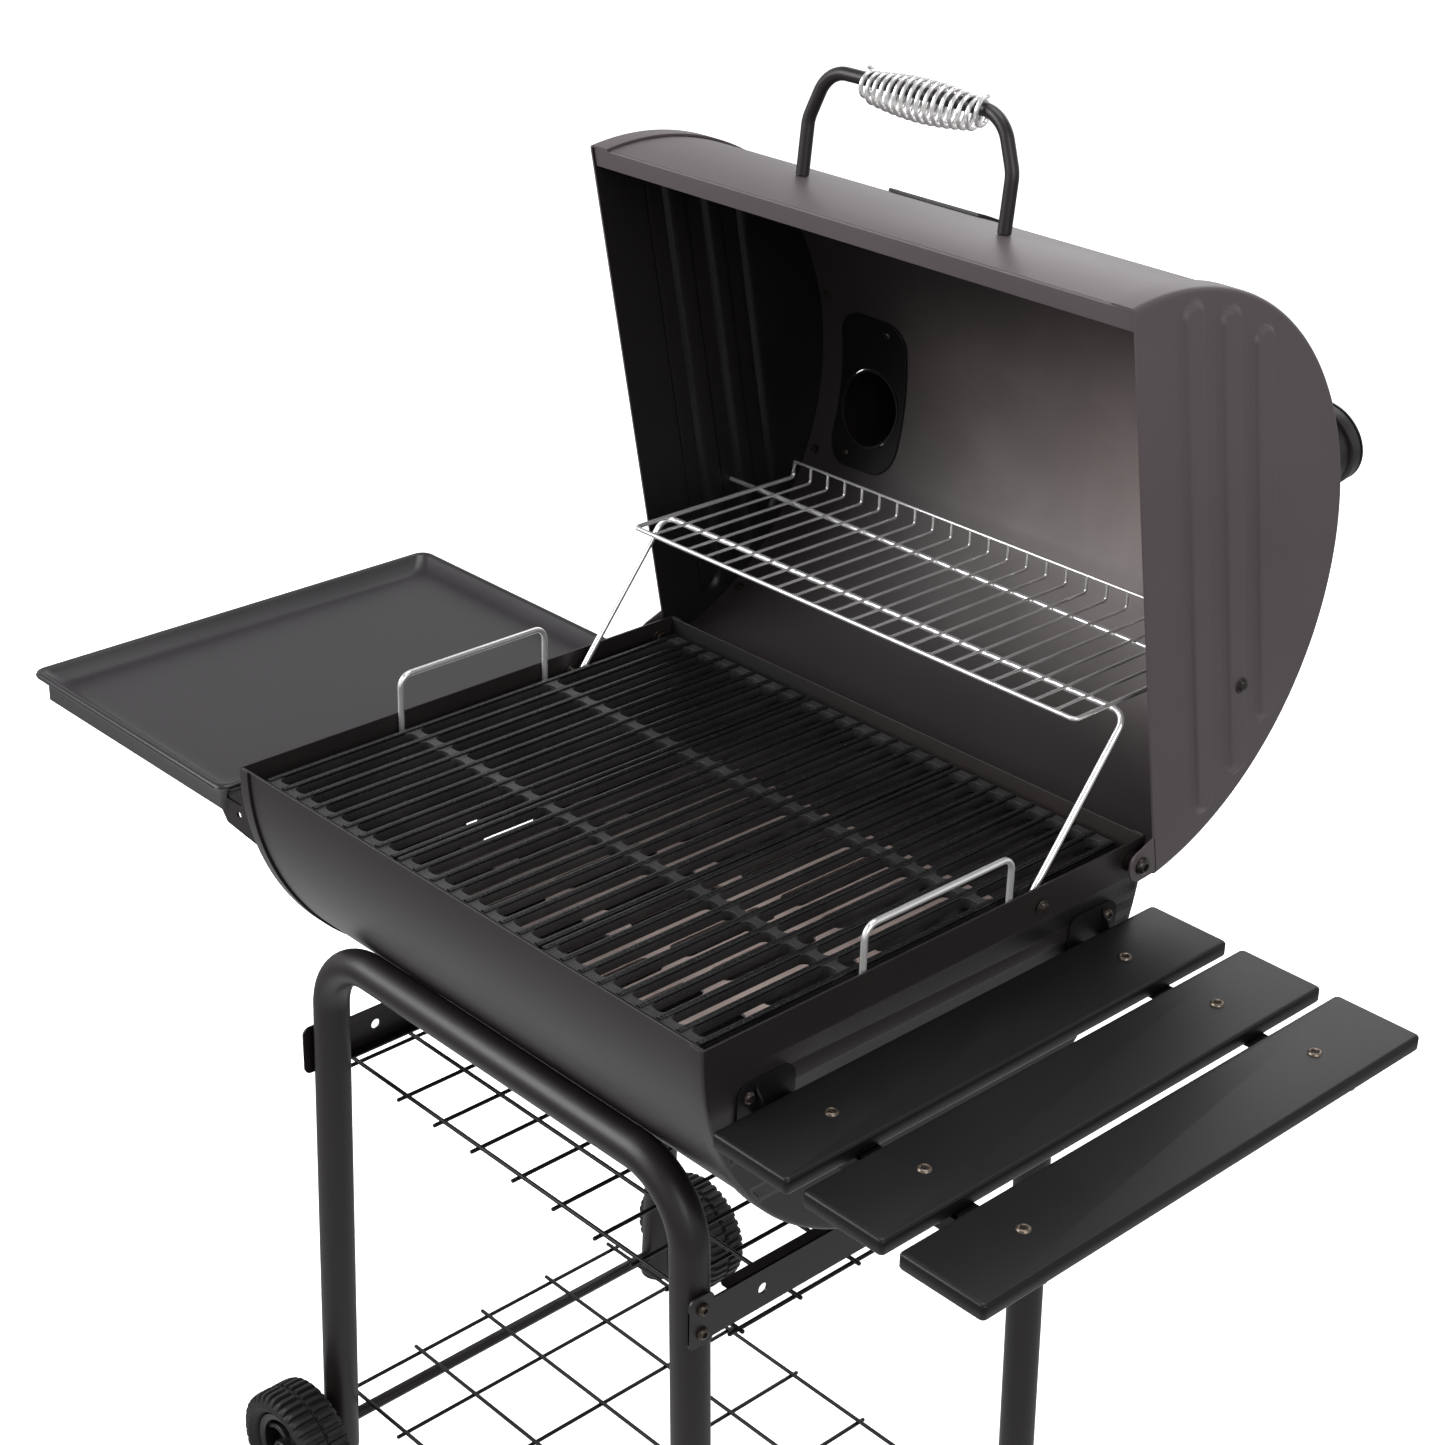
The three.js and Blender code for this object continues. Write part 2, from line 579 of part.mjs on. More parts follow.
/** Bolt that holds one leg of the handle from inside the lid. */
function handleBolt(side) {
  const x = side * HANDLE_HALF_SPAN;
  const shank = rod([handlePoint(x, -22), handlePoint(x, GAP)], 3, 8);
  const nut = rod([handlePoint(x, -SHEET - GAP - 6), handlePoint(x, -SHEET - GAP - 1)], 7, 6);
  return joined(shank, nut);
}

/** Blank badge plate, curved with the lid. */
function badgePlate() {
  const [low, high] = BADGE.angles.map((a) => Math.PI - THREE.MathUtils.degToRad(a));
  const inner = LID_SHELL_RADIUS + GAP + 0.2;
  return alongX(band(LID_CENTRE, inner + BADGE.proud, inner, high, low, 4), BADGE.x);
}

/** Upright cylinder that clears the way for a stack. */
function stackBore(x) {
  return alongZ(disc(new THREE.Vector2(x, STACK_Y), STACK_HOLE_RADIUS, 20), [150, 300]);
}

/** Exhaust stack with its collar, and a riveted lug that carries the rain cap. */
function stack(x, toPivot) {
  const inner = STACK_RADIUS - STACK_WALL;
  const collarStart = STACK_TOP - STACK_COLLAR.height;
  const tube = turned([
    [inner, 150], [STACK_RADIUS, 150], [STACK_RADIUS, collarStart], [STACK_COLLAR.radius, collarStart],
    [STACK_COLLAR.radius, STACK_TOP], [inner, STACK_TOP], [inner, 150],
  ], 20).translate(x, STACK_Y, 0);
  const pivot = new THREE.Vector2(x + toPivot * STACK_CAP.pivot, STACK_Y);
  const lugEnds = [pivot.x - toPivot * 8, pivot.x + toPivot * 6].sort((a, b) => a - b);
  const lug = block(lugEnds, [STACK_Y - 6, STACK_Y + 6], [STACK_TOP - 20, STACK_TOP]);
  const rivet = turned([
    [0, STACK_TOP - 10], [2.5, STACK_TOP - 10], [2.5, STACK_CAP.top + GAP], [5, STACK_CAP.top + GAP],
    [5, STACK_CAP.top + 2.4], [0, STACK_CAP.top + 2.4],
  ], 10).translate(pivot.x, pivot.y, 0);
  const insideLid = alongX(disc(LID_CENTRE, LID_SHELL_INNER - 2.3, 2 * ARC_STEPS), [x - 60, x + 60]);
  return cut(joined(tube, lug, rivet), insideLid);
}

/** Saddle plate that joins a stack to the inside of the lid. */
function stackPlate(x) {
  const outer = LID_SHELL_INNER - 2 * GAP;
  const strip = band(LID_CENTRE, outer, outer - SHEET, Math.PI * 0.25, Math.PI * 0.6, 12);
  const span = [x - STACK_PLATE.halfWidth, x + STACK_PLATE.halfWidth];
  const blank = alongZ(roundedRectangle(span, STACK_PLATE.y, STACK_PLATE.corner), [150, 300]);
  return cut(common(alongX(strip, [span[0] - 5, span[1] + 5]), blank), stackBore(x));
}

/** Rain cap that swivels about the stack's rivet. */
function stackCap(x, toPivot) {
  const pivot = new THREE.Vector2(x + toPivot * STACK_CAP.pivot, STACK_Y);
  const bore = disc(pivot, 3, 10);
  const height = [STACK_CAP.bottom, STACK_CAP.top];
  const lid = alongZ(disc(new THREE.Vector2(x, STACK_Y), STACK_CAP.radius, 20), height);
  const ear = alongZ(disc(pivot, STACK_CAP.ear, 10), height);
  return cut(joined(lid, ear), alongZ(bore, [STACK_TOP, STACK_TOP + 10]));
}

function lidPieces() {
  const stackSides = Object.entries(STACKS);
  return [
    piece('lid_shell', lidShell(), charcoalPaint),
    piece('lid_cap_left', mirrored(lidCap()), charcoalPaint),
    piece('lid_cap_right', lidCap(), charcoalPaint),
    piece('badge_plate', badgePlate(), blackPaint),
    piece('handle_rod', handleRod(), blackPaint),
    piece('handle_coil', handleCoil(), chrome),
    piece('handle_bolt_left', handleBolt(-1), boltSteel),
    piece('handle_bolt_right', handleBolt(1), zincSteel),
    ...stackSides.map(([name, x]) => piece(`stack_${name}`, stack(x, -Math.sign(x)), blackPaint)),
    ...stackSides.map(([name, x]) => piece(`stack_plate_${name}`, stackPlate(x), blackPaint)),
    ...stackSides.map(([name, x]) => piece(`stack_cap_${name}`, stackCap(x, -Math.sign(x)), blackPaint)),
  ];
}

/** Lid pieces swung open about the hinge. */
function openLid() {
  const swing = new THREE.Group();
  swing.position.set(0, HINGE.x, HINGE.y);
  swing.rotation.x = -LID_OPEN_ANGLE;
  const drawn = new THREE.Group();
  drawn.position.set(0, -HINGE.x, -HINGE.y);
  drawn.add(...lidPieces());
  swing.add(drawn);
  return swing;
}

// ---------------------------------------------------------------- hinge and warming rack

/** Right hinge bolt: nut, shank and head. */
function hingeBolt() {
  const wall = BARREL_WALL[0] - GAP;
  return stepped([[wall - 5, 7], [wall, 4], [LID_HALF_LENGTH + GAP, 8], [LID_HALF_LENGTH + 5, 0]], HINGE);
}

/** Round spacer between the barrel wall and the lid cap. */
const hingeSpacer = () => ringX([BARREL_HALF_LENGTH + GAP, LID_WALL[0] - GAP], HINGE, 10, 4.4);

/** Wire warming rack with its upstand and the rod that hangs it from the lid caps. */
function warmingRack() {
  const wires = evenLines(-RACK.halfLength, RACK.halfLength, RACK.wires);
  const [front, rear] = RACK.y;
  const pivot = RACK_ARM.clone().add(HINGE);
  const bed = grid(
    wires, [front, pivot.x, rear], RACK.wire, RACK.wire, [RACK.bottom, RACK.bottom + RACK.wire],
  );
  const wall = [rear - RACK.wire / 2, rear + RACK.wire / 2];
  const half = RACK.wire / 2;
  const posts = wires.map((x) => block([x - half, x + half], wall, [RACK.bottom, RACK.upstand]));
  const rail = block([wires[0] - half, wires.at(-1) + half], wall, [RACK.upstand - RACK.wire, RACK.upstand]);
  const hanger = alongX(disc(pivot, 3.2, 8), [RACK.halfLength - half, LID_HALF_LENGTH + RIB_RISE]);
  return joined(bed, ...posts, rail, hanger, mirrored(hanger));
}

/** Push nut on the outer end of a wire, right side. */
const pushNut = (from, centre) => alongX(disc(centre, NUT_RADIUS, HOLE_SIDES), [from, from + 4.5]);

/** Bail wire that carries the rack's front and stands in the barrel's end walls. */
function rackBail() {
  const top = RACK_ARM.clone().add(BAIL_PIVOT);
  const foot = BARREL_HALF_LENGTH + 0.7;
  const at = (x, { x: y, y: z }) => new THREE.Vector3(x, y, z);
  const half = [at(foot, BAIL_PIVOT), at(BAIL.x, BAIL_PIVOT), at(BAIL.x, top)];
  const footBend = bent(half, BAIL.foot, 3).slice(0, -1);
  const shoulder = bent([half[1], at(BAIL.x, top), at(0, top)], BAIL.bend, 4).slice(1, -1);
  const right = [...footBend, ...shoulder];
  const left = right.map((p) => new THREE.Vector3(-p.x, p.y, p.z)).reverse();
  return rod([...right, ...left], BAIL.radius, 8);
}

function rackPieces() {
  const rackNut = pushNut(LID_HALF_LENGTH + RIB_RISE + GAP, RACK_ARM.clone().add(HINGE));
  const bailNut = pushNut(BARREL_HALF_LENGTH + 1, BAIL_PIVOT);
  return [
    piece('hinge_bolt_left', mirrored(hingeBolt()), boltSteel),
    piece('hinge_bolt_right', hingeBolt(), boltSteel),
    piece('hinge_spacer_left', mirrored(hingeSpacer()), boltSteel),
    piece('hinge_spacer_right', hingeSpacer(), boltSteel),
    piece('warming_rack', warmingRack(), chrome),
    piece('rack_nut_left', mirrored(rackNut), boltSteel),
    piece('rack_nut_right', rackNut, boltSteel),
    piece('rack_bail', rackBail(), chrome),
    piece('bail_nut_left', mirrored(bailNut), boltSteel),
    piece('bail_nut_right', bailNut, boltSteel),
  ];
}

// ---------------------------------------------------------------- side tray and slatted shelf

const grown = ([a, b], by) => [a - by, b + by];

/** A span measured from the middle, on the front or the rear side. */
const sided = (side, [a, b]) => (side > 0 ? [a, b] : [-b, -a]);

/** Pressed tray: rolled rim, sloping walls, flat floor and a skirt below. */
function sideTray() {
  const width = [-TRAY.halfWidth, TRAY.halfWidth];
  const skirtInset = -TRAY_SKIRT_INSET;
  const floorInset = -TRAY_RIM_WIDTH - TRAY_SLOPE;
  const rim = alongZ(roundedRectangle(TRAY.x, width, TRAY.corner), [TRAY.rim - 7, TRAY.rim]);
  const skirt = alongZ(
    roundedRectangle(grown(TRAY.x, skirtInset), grown(width, skirtInset), 8), [TRAY.skirt, TRAY.rim - 3],
  );
  const floor = roundedRectangle(grown(TRAY.x, floorInset), grown(width, floorInset), 10);
  const pan = new THREE.ExtrudeGeometry(floor, {
    depth: 20, bevelThickness: TRAY.rim - TRAY.floor, bevelSize: TRAY_SLOPE, bevelSegments: 1,
  }).translate(0, 0, TRAY.rim);
  const hollow = alongZ(
    roundedRectangle(grown(TRAY.x, skirtInset - SHEET), grown(width, skirtInset - SHEET), 6),
    [TRAY.skirt - 5, TRAY.floor - SHEET],
  );
  const notches = [-1, 1].map((side) =>
    block([TRAY.x[1] - 22, TRAY.x[1]], sided(side, grown(TRAY_ARM.y, GAP)), [TRAY.skirt - 5, TRAY.floor - SHEET]));
  return cut(joined(rim, skirt), pan, hollow, ...notches);
}

/** Bracket arm under the tray, at the front or the rear. */
function trayBracket(side) {
  const under = TRAY.floor - SHEET - GAP;
  const wall = -BARREL_HALF_LENGTH - GAP;
  const end = TRAY.x[0] + 60;
  const hook = -346; // clears the edge of the tray
  const arm = outline([
    [wall, TRAY_ARM.top], [hook, TRAY_ARM.top], [hook, under], [end, under], [end, under - 10],
    [hook - 39, under - 10], [hook - 26, TRAY_ARM.bottom + 7], [wall, TRAY_ARM.bottom],
  ]);
  arm.holes.push(disc(new THREE.Vector2(...TRAY_ARM.hole), 3.5, 8));
  const web = alongY(arm, sided(side, TRAY_ARM.y));
  const footY = sided(side, [SHELF_ARM_Y + 31, TRAY_ARM.y[1]]);
  const foot = block([wall - SHEET, wall], footY, [TRAY_ARM.bottom, TRAY_ARM.top]);
  return joined(web, foot);
}

/** Bracket arm under the slats, with the foot that bolts it to the right wall. */
function shelfBracket(side) {
  const under = SLAT.top - SLAT.thickness - GAP;
  const wall = BARREL_HALF_LENGTH + GAP;
  const end = SLAT.first + 3 * SLAT.width + 2 * SLAT.gap - 8;
  const [inner, outer] = grown([SHELF_ARM_Y, SHELF_ARM_Y], SHELF_ARM.halfWidth);
  const arm = block([wall, end], sided(side, [inner, outer]), [under - SHEET, under]);
  const web = block([wall, end], sided(side, [outer - SHEET, outer]), [under - SHELF_ARM.web, under]);
  const footY = sided(side, [inner, SHELF_ARM_Y + SHELF_ARM.footReach]);
  const foot = block([wall, wall + SHEET], footY, SHELF_ARM.foot);
  return joined(arm, web, foot);
}

function sidePieces() {
  const slats = SLAT_NAMES.map((name, i) => {
    const start = SLAT.first + i * (SLAT.width + SLAT.gap);
    const body = block(
      [start, start + SLAT.width], [-SLAT.halfLength, SLAT.halfLength], [SLAT.top - SLAT.thickness, SLAT.top],
    );
    return piece(`shelf_slat_${name}`, body, blackPaint);
  });
  return [
    piece('side_tray', sideTray(), blackPaint),
    piece('tray_bracket_front', trayBracket(-1), charcoalPaint),
    piece('tray_bracket_rear', trayBracket(1), charcoalPaint),
    ...slats,
    piece('shelf_bracket_front', shelfBracket(-1), blackPaint),
    piece('shelf_bracket_rear', shelfBracket(1), blackPaint),
  ];
}

// ---------------------------------------------------------------- cart

/** Distance of a leg's centre from the middle plane at a height. */
const legX = (z) => ARCH_HALF_SPAN + LEG_SPLAY * Math.max(SPLAY_START - z, 0);

/** Arched tube at the front or the rear; the axle runs through the left leg. */
function arch(side) {
  const at = (x, z) => new THREE.Vector3(x, side * ARCH_Y, z);
  const corners = [
    at(-legX(LEFT_LEG_END), LEFT_LEG_END), at(-legX(ARCH_TOP), ARCH_TOP),
    at(legX(ARCH_TOP), ARCH_TOP), at(legX(RIGHT_LEG_END), RIGHT_LEG_END),
  ];
  const tube = rod(bent(corners, ARCH_BEND, 5), LEG_RADIUS, 10);
  const bore = alongY(disc(new THREE.Vector2(AXLE.x, AXLE.z), AXLE.radius + 0.6, HOLE_SIDES),
    [side * ARCH_Y - 30, side * ARCH_Y + 30]);
  return cut(tube, bore);
}

/** Pressed rail that ties the two right legs, with an upper and a lower lip. */
function crossbar() {
  const { tab, web, halfLength, x, lipHalfLength } = CROSSBAR;
  const inner = halfLength - CROSSBAR.tabLength;
  const middle = (web[0] + web[1]) / 2;
  const plate = outline([
    [-halfLength, tab[0]], [-inner, tab[0]], [-inner, web[0]], [inner, web[0]], [inner, tab[0]],
    [halfLength, tab[0]], [halfLength, tab[1]], [inner, tab[1]], [inner, web[1]],
    [-inner, web[1]], [-inner, tab[1]], [-halfLength, tab[1]],
  ]);
  plate.holes.push(...[-1, 1].map((end) => disc(new THREE.Vector2(end * CROSSBAR.holeY, middle), 5, 8)));
  const lip = (z) => block([x[0] - CROSSBAR.lip, x[1]], [-lipHalfLength, lipHalfLength], z);
  return joined(alongX(plate, x), lip([web[0], web[0] + SHEET]), lip([web[1] - SHEET, web[1]]));
}

const wireShelf = ({ x, y, z }) => grid(x, y, SHELF_WIRE, SHELF_WIRE, z);

/** Tyre about its own axle, upright. */
function tyre() {
  const half = WHEEL_WIDTH / 2;
  return turned([
    [TYRE_BORE, -half + 6], [WHEEL_RADIUS - 8, -half], [WHEEL_RADIUS, -half + 7],
    [WHEEL_RADIUS, half - 7], [WHEEL_RADIUS - 8, half], [TYRE_BORE, half - 6],
    [TYRE_BORE, -half + 6],
  ], WHEEL_SIDES);
}

/** Dished hub with a rim and a boss, bored for the axle. */
function wheelHub() {
  const bore = AXLE.radius + 0.6;
  const half = WHEEL_WIDTH / 2;
  return turned([
    [bore, -half + 4], [14, -half + 4], [14, -6], [34, -6], [34, -half + 8], [HUB_RADIUS, -half + 8],
    [HUB_RADIUS, half - 8], [34, half - 8], [34, 6], [14, 6], [14, half - 4], [bore, half - 4],
    [bore, -half + 4],
  ], 16);
}

/** Axle bar with a push cap on each end. */
function axle() {
  const reach = WHEEL_Y + WHEEL_WIDTH / 2 - 3;
  const cap = reach + 5;
  return turned([
    [0, -cap], [8, -cap], [11, -reach], [AXLE.radius, -reach],
    [AXLE.radius, reach], [11, reach], [8, cap], [0, cap],
  ], HOLE_SIDES).rotateX(Math.PI / 2).translate(AXLE.x, 0, AXLE.z);
}

/** Plastic cup under a right leg. */
function footCap(side) {
  const x = legX(GROUND + 8);
  return turned([
    [0, GROUND], [19.5, GROUND], [20.5, GROUND + 4], [19.5, GROUND + 18], [18.2, GROUND + 18],
    [18.2, GROUND + 3], [0, GROUND + 3],
  ], 12).translate(x, side * ARCH_Y, 0);
}

function wheelPieces(name, side) {
  const onAxle = (geometry) => geometry.rotateX(Math.PI / 2).translate(AXLE.x, side * WHEEL_Y, AXLE.z);
  return [
    piece(`tyre_${name}`, onAxle(tyre()), tyreRubber),
    piece(`wheel_hub_${name}`, onAxle(wheelHub()), hubPlastic),
  ];
}

function cartPieces() {
  return [
    piece('front_arch', arch(-1), charcoalPaint),
    piece('rear_arch', arch(1), charcoalPaint),
    piece('crossbar_left', mirrored(crossbar()), charcoalPaint),
    piece('crossbar_right', crossbar(), charcoalPaint),
    piece('storage_shelf', wireShelf(STORAGE_SHELF), blackPaint),
    piece('bottom_shelf', wireShelf(BOTTOM_SHELF), blackPaint),
    piece('axle', axle(), boltSteel),
    ...wheelPieces('front', -1),
    ...wheelPieces('rear', 1),
    piece('foot_cap_front', footCap(-1), hubPlastic),
    piece('foot_cap_rear', footCap(1), hubPlastic),
  ];
}

// ---------------------------------------------------------------- the whole object

const smoker = new THREE.Group();
smoker.add(...barrelPieces(), openLid(), ...rackPieces(), ...sidePieces(), ...cartPieces());

const extent = new THREE.Box3().setFromObject(smoker, true);
const middle = extent.getCenter(new THREE.Vector3());
smoker.position.set(-middle.x, -middle.y, -extent.min.z);

export default smoker;
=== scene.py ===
import logging
import math
from dataclasses import dataclass
from enum import Enum
from typing import Sequence

import bmesh
import bpy
import numpy as np
from mathutils import Matrix, Vector
from mathutils.geometry import tessellate_polygon


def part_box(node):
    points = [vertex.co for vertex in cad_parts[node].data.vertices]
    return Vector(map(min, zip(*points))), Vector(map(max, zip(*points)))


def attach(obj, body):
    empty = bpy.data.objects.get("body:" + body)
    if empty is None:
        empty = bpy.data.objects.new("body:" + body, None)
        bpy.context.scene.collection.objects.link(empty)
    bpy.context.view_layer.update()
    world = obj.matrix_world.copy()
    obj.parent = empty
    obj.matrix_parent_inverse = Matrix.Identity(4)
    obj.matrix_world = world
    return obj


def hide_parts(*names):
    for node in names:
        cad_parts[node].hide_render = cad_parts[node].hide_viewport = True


# Looks of a barrel smoker on an open cart. Every size is in millimetres, measured from
# the middle of the barrel's rim: X to the right, Y to the rear, Z upwards.

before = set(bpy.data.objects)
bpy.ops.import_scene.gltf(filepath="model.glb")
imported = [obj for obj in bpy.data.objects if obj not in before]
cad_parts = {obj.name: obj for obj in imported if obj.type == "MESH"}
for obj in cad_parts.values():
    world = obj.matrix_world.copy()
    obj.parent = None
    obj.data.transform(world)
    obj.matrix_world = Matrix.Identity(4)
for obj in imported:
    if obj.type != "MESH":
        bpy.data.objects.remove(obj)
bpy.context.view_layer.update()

Array = np.ndarray
Colour = tuple[float, float, float]
log = logging.getLogger("smoker")

MM = 0.001
WELD = 1e-6
TURN = 2 * math.pi


def rim_middle() -> Array:
    """Middle of the barrel's rim in the frame, in metres."""
    low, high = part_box("barrel_shell")
    return np.array([(low.x + high.x) / 2, (low.y + high.y) / 2, high.z])


ORIGIN = rim_middle()


class Body(Enum):
    """The moving bodies of the smoker."""

    ROOT = "root"
    LID = "lid"
    CAP_LEFT = "stack_cap_left"
    CAP_RIGHT = "stack_cap_right"
    RACK = "warming_rack"
    BAIL = "rack_bail"
    GRATE_LEFT = "cooking_grate_left"
    GRATE_MIDDLE = "cooking_grate_middle"
    GRATE_RIGHT = "cooking_grate_right"
    FIRE_GRATE = "fire_grate"
    DAMPER = "side_damper"
    WHEEL_FRONT = "front_wheel"
    WHEEL_REAR = "rear_wheel"


class Slot(Enum):
    """The finishes that the record names."""

    CHARCOAL = "charcoal_paint"
    BLACK = "black_paint"
    CAST = "cast_iron"
    CHROME = "chrome_wire"
    BOLT = "bolt_steel"
    ZINC = "zinc_steel"
    RUBBER = "tyre_rubber"
    PLASTIC = "hub_plastic"


class Axis(Enum):
    """Direction that a flat outline is carried along: places of its two sides and its depth."""

    X = (1, 2, 0)
    Y = (0, 2, 1)
    Z = (0, 1, 2)


# ---------------------------------------------------------------- shader building


class Value:
    """A number socket that builds Math nodes from Python arithmetic."""

    def __init__(self, tree: "Shading", socket: bpy.types.NodeSocket) -> None:
        """Keep the socket with the tree it belongs to."""
        self.tree = tree
        self.socket = socket

    def math(self, operation: str, *others: "Value | float", first: bool = True) -> "Value":
        """Join this value to others by one Math node.

        Args:
            operation: the Math node's operation.
            others: the other operands.
            first: whether this value comes before the others.

        Returns:
            The result as a value.
        """
        operands = (self, *others) if first else (*others, self)
        inputs = {i: o.socket if isinstance(o, Value) else o for i, o in enumerate(operands)}
        node = self.tree.node("ShaderNodeMath", {"operation": operation}, inputs)
        return Value(self.tree, node.outputs[0])

    def __add__(self, other: "Value | float") -> "Value":
        """Sum."""
        return self.math("ADD", other)

    __radd__ = __add__

    def __sub__(self, other: "Value | float") -> "Value":
        """Difference."""
        return self.math("SUBTRACT", other)

    def __rsub__(self, other: "Value | float") -> "Value":
        """Difference from a number."""
        return self.math("SUBTRACT", other, first=False)

    def __mul__(self, other: "Value | float") -> "Value":
        """Product."""
        return self.math("MULTIPLY", other)

    __rmul__ = __mul__

    def band(self, low: float, high: float) -> "Value":
        """Smooth step from 0 at low to 1 at high.

        Args:
            low: value that gives 0.
            high: value that gives 1.

        Returns:
            The stepped value.
        """
        settings = {"interpolation_type": "SMOOTHSTEP"}
        node = self.tree.node("ShaderNodeMapRange", settings, {0: self.socket, 1: low, 2: high})
        return Value(self.tree, node.outputs[0])


class Shading:
    """Node tree of one material, ending in a Principled shader."""

    def __init__(self, name: str, sheen: float = 0.5) -> None:
        """Make a material with an empty tree, its shader and its object coordinates.

        Args:
            name: the material's name.
            sheen: the shader's specular level, the same all over.
        """
        self.material = bpy.data.materials.new(name)
        self.material.use_nodes = True
        self.nodes = self.material.node_tree.nodes
        self.links = self.material.node_tree.links
        self.nodes.clear()
        self.shader = self.nodes.new("ShaderNodeBsdfPrincipled")
        end = self.nodes.new("ShaderNodeOutputMaterial")
        self.links.new(self.shader.outputs[0], end.inputs[0])
        self.place = self.nodes.new("ShaderNodeTexCoord").outputs["Object"]
        self.shader.inputs["Specular IOR Level"].default_value = sheen

    def node(self, kind: str, settings: dict, inputs: dict) -> bpy.types.Node:
        """Make one node.

        Args:
            kind: the node's type.
            settings: its properties, set first.
            inputs: values or sockets by input name or number.

        Returns:
            The node.
        """
        node = self.nodes.new(kind)
        for key, value in settings.items():
            setattr(node, key, value)
        for key, value in inputs.items():
            if isinstance(value, bpy.types.NodeSocket):
                self.links.new(value, node.inputs[key])
            else:
                node.inputs[key].default_value = value
        return node

    def noise(self, scale: float, detail: float = 3.0, stretch: Colour = (1, 1, 1)) -> Value:
        """Cloudy noise over the object.

        Args:
            scale: patches in a metre.
            detail: octaves.
            stretch: how much finer the noise is along each direction.

        Returns:
            Noise between 0 and 1.
        """
        place = self.node("ShaderNodeMapping", {}, {"Vector": self.place, "Scale": stretch})
        inputs = {"Vector": place.outputs[0], "Scale": scale, "Detail": detail}
        return Value(self, self.node("ShaderNodeTexNoise", {}, inputs).outputs[0])

    def blend(
        self, factor: Value, low: "Colour | bpy.types.NodeSocket", high: Colour,
    ) -> bpy.types.NodeSocket:
        """Mix two colours.

        Args:
            factor: share of the second colour.
            low: first colour, or a colour socket.
            high: second colour.

        Returns:
            The colour socket.
        """
        first = low if isinstance(low, bpy.types.NodeSocket) else (*low, 1)
        inputs = {0: factor.socket, 6: first, 7: (*high, 1)}
        return self.node("ShaderNodeMix", {"data_type": "RGBA"}, inputs).outputs[2]

    def feed(self, key: str, value: "Value | bpy.types.NodeSocket | float | tuple") -> None:
        """Set or link one input of the shader.

        Args:
            key: the input's name.
            value: a number, a colour, or the value or socket to link.
        """
        source = value.socket if isinstance(value, Value) else value
        if isinstance(source, bpy.types.NodeSocket):
            self.links.new(source, self.shader.inputs[key])
        else:
            self.shader.inputs[key].default_value = source

    def bump(self, height: Value, depth: float) -> None:
        """Raise the surface by a height.

        Args:
            height: height between 0 and 1.
            depth: full height in millimetres.
        """
        inputs = {"Height": height.socket, "Distance": depth * MM}
        self.feed("Normal", self.node("ShaderNodeBump", {}, inputs).outputs[0])


@dataclass(frozen=True)
class Finish:
    """A finish with a tone, a second tone in soft patches and a gloss."""

    name: str
    tone: Colour
    patch: Colour
    roughness: float
    metallic: float = 0.0

    def shading(self) -> Shading:
        """Lay the finish on a new material.

        Returns:
            The shading with every input fed.
        """
        raise NotImplementedError

    def material(self) -> bpy.types.Material:
        """The finish's material, made once."""
        made = bpy.data.materials.get(self.name)
        return made if made else self.shading().material


@dataclass(frozen=True)
class SatinPaint(Finish):
    """Baked satin paint: soft patches of tone, fine orange peel and a few dust specks."""

    peel: float = 0.05
    sheen: float = 0.35

    def shading(self) -> Shading:
        """Patches change the tone and the gloss; the peel is a fine bump.

        Returns:
            The shading with every input fed.
        """
        tree = Shading(self.name, self.sheen)
        cloud = tree.noise(7.0, 4.0)
        speck = tree.noise(1400.0, 1.0)
        fine = tree.noise(520.0, 2.0)
        colour = tree.blend(cloud.band(0.3, 0.7), self.tone, self.patch)
        lighter = tuple(min(1.0, c * 1.7 + 0.012) for c in self.tone)
        tree.feed("Base Color", tree.blend(speck.band(0.62, 0.8) * 0.5, colour, lighter))
        tree.feed("Roughness", self.roughness + (cloud - 0.5) * 0.1 + (fine - 0.5) * 0.08)
        tree.feed("Metallic", self.metallic)
        tree.bump(fine + speck * 0.35, self.peel)
        return tree


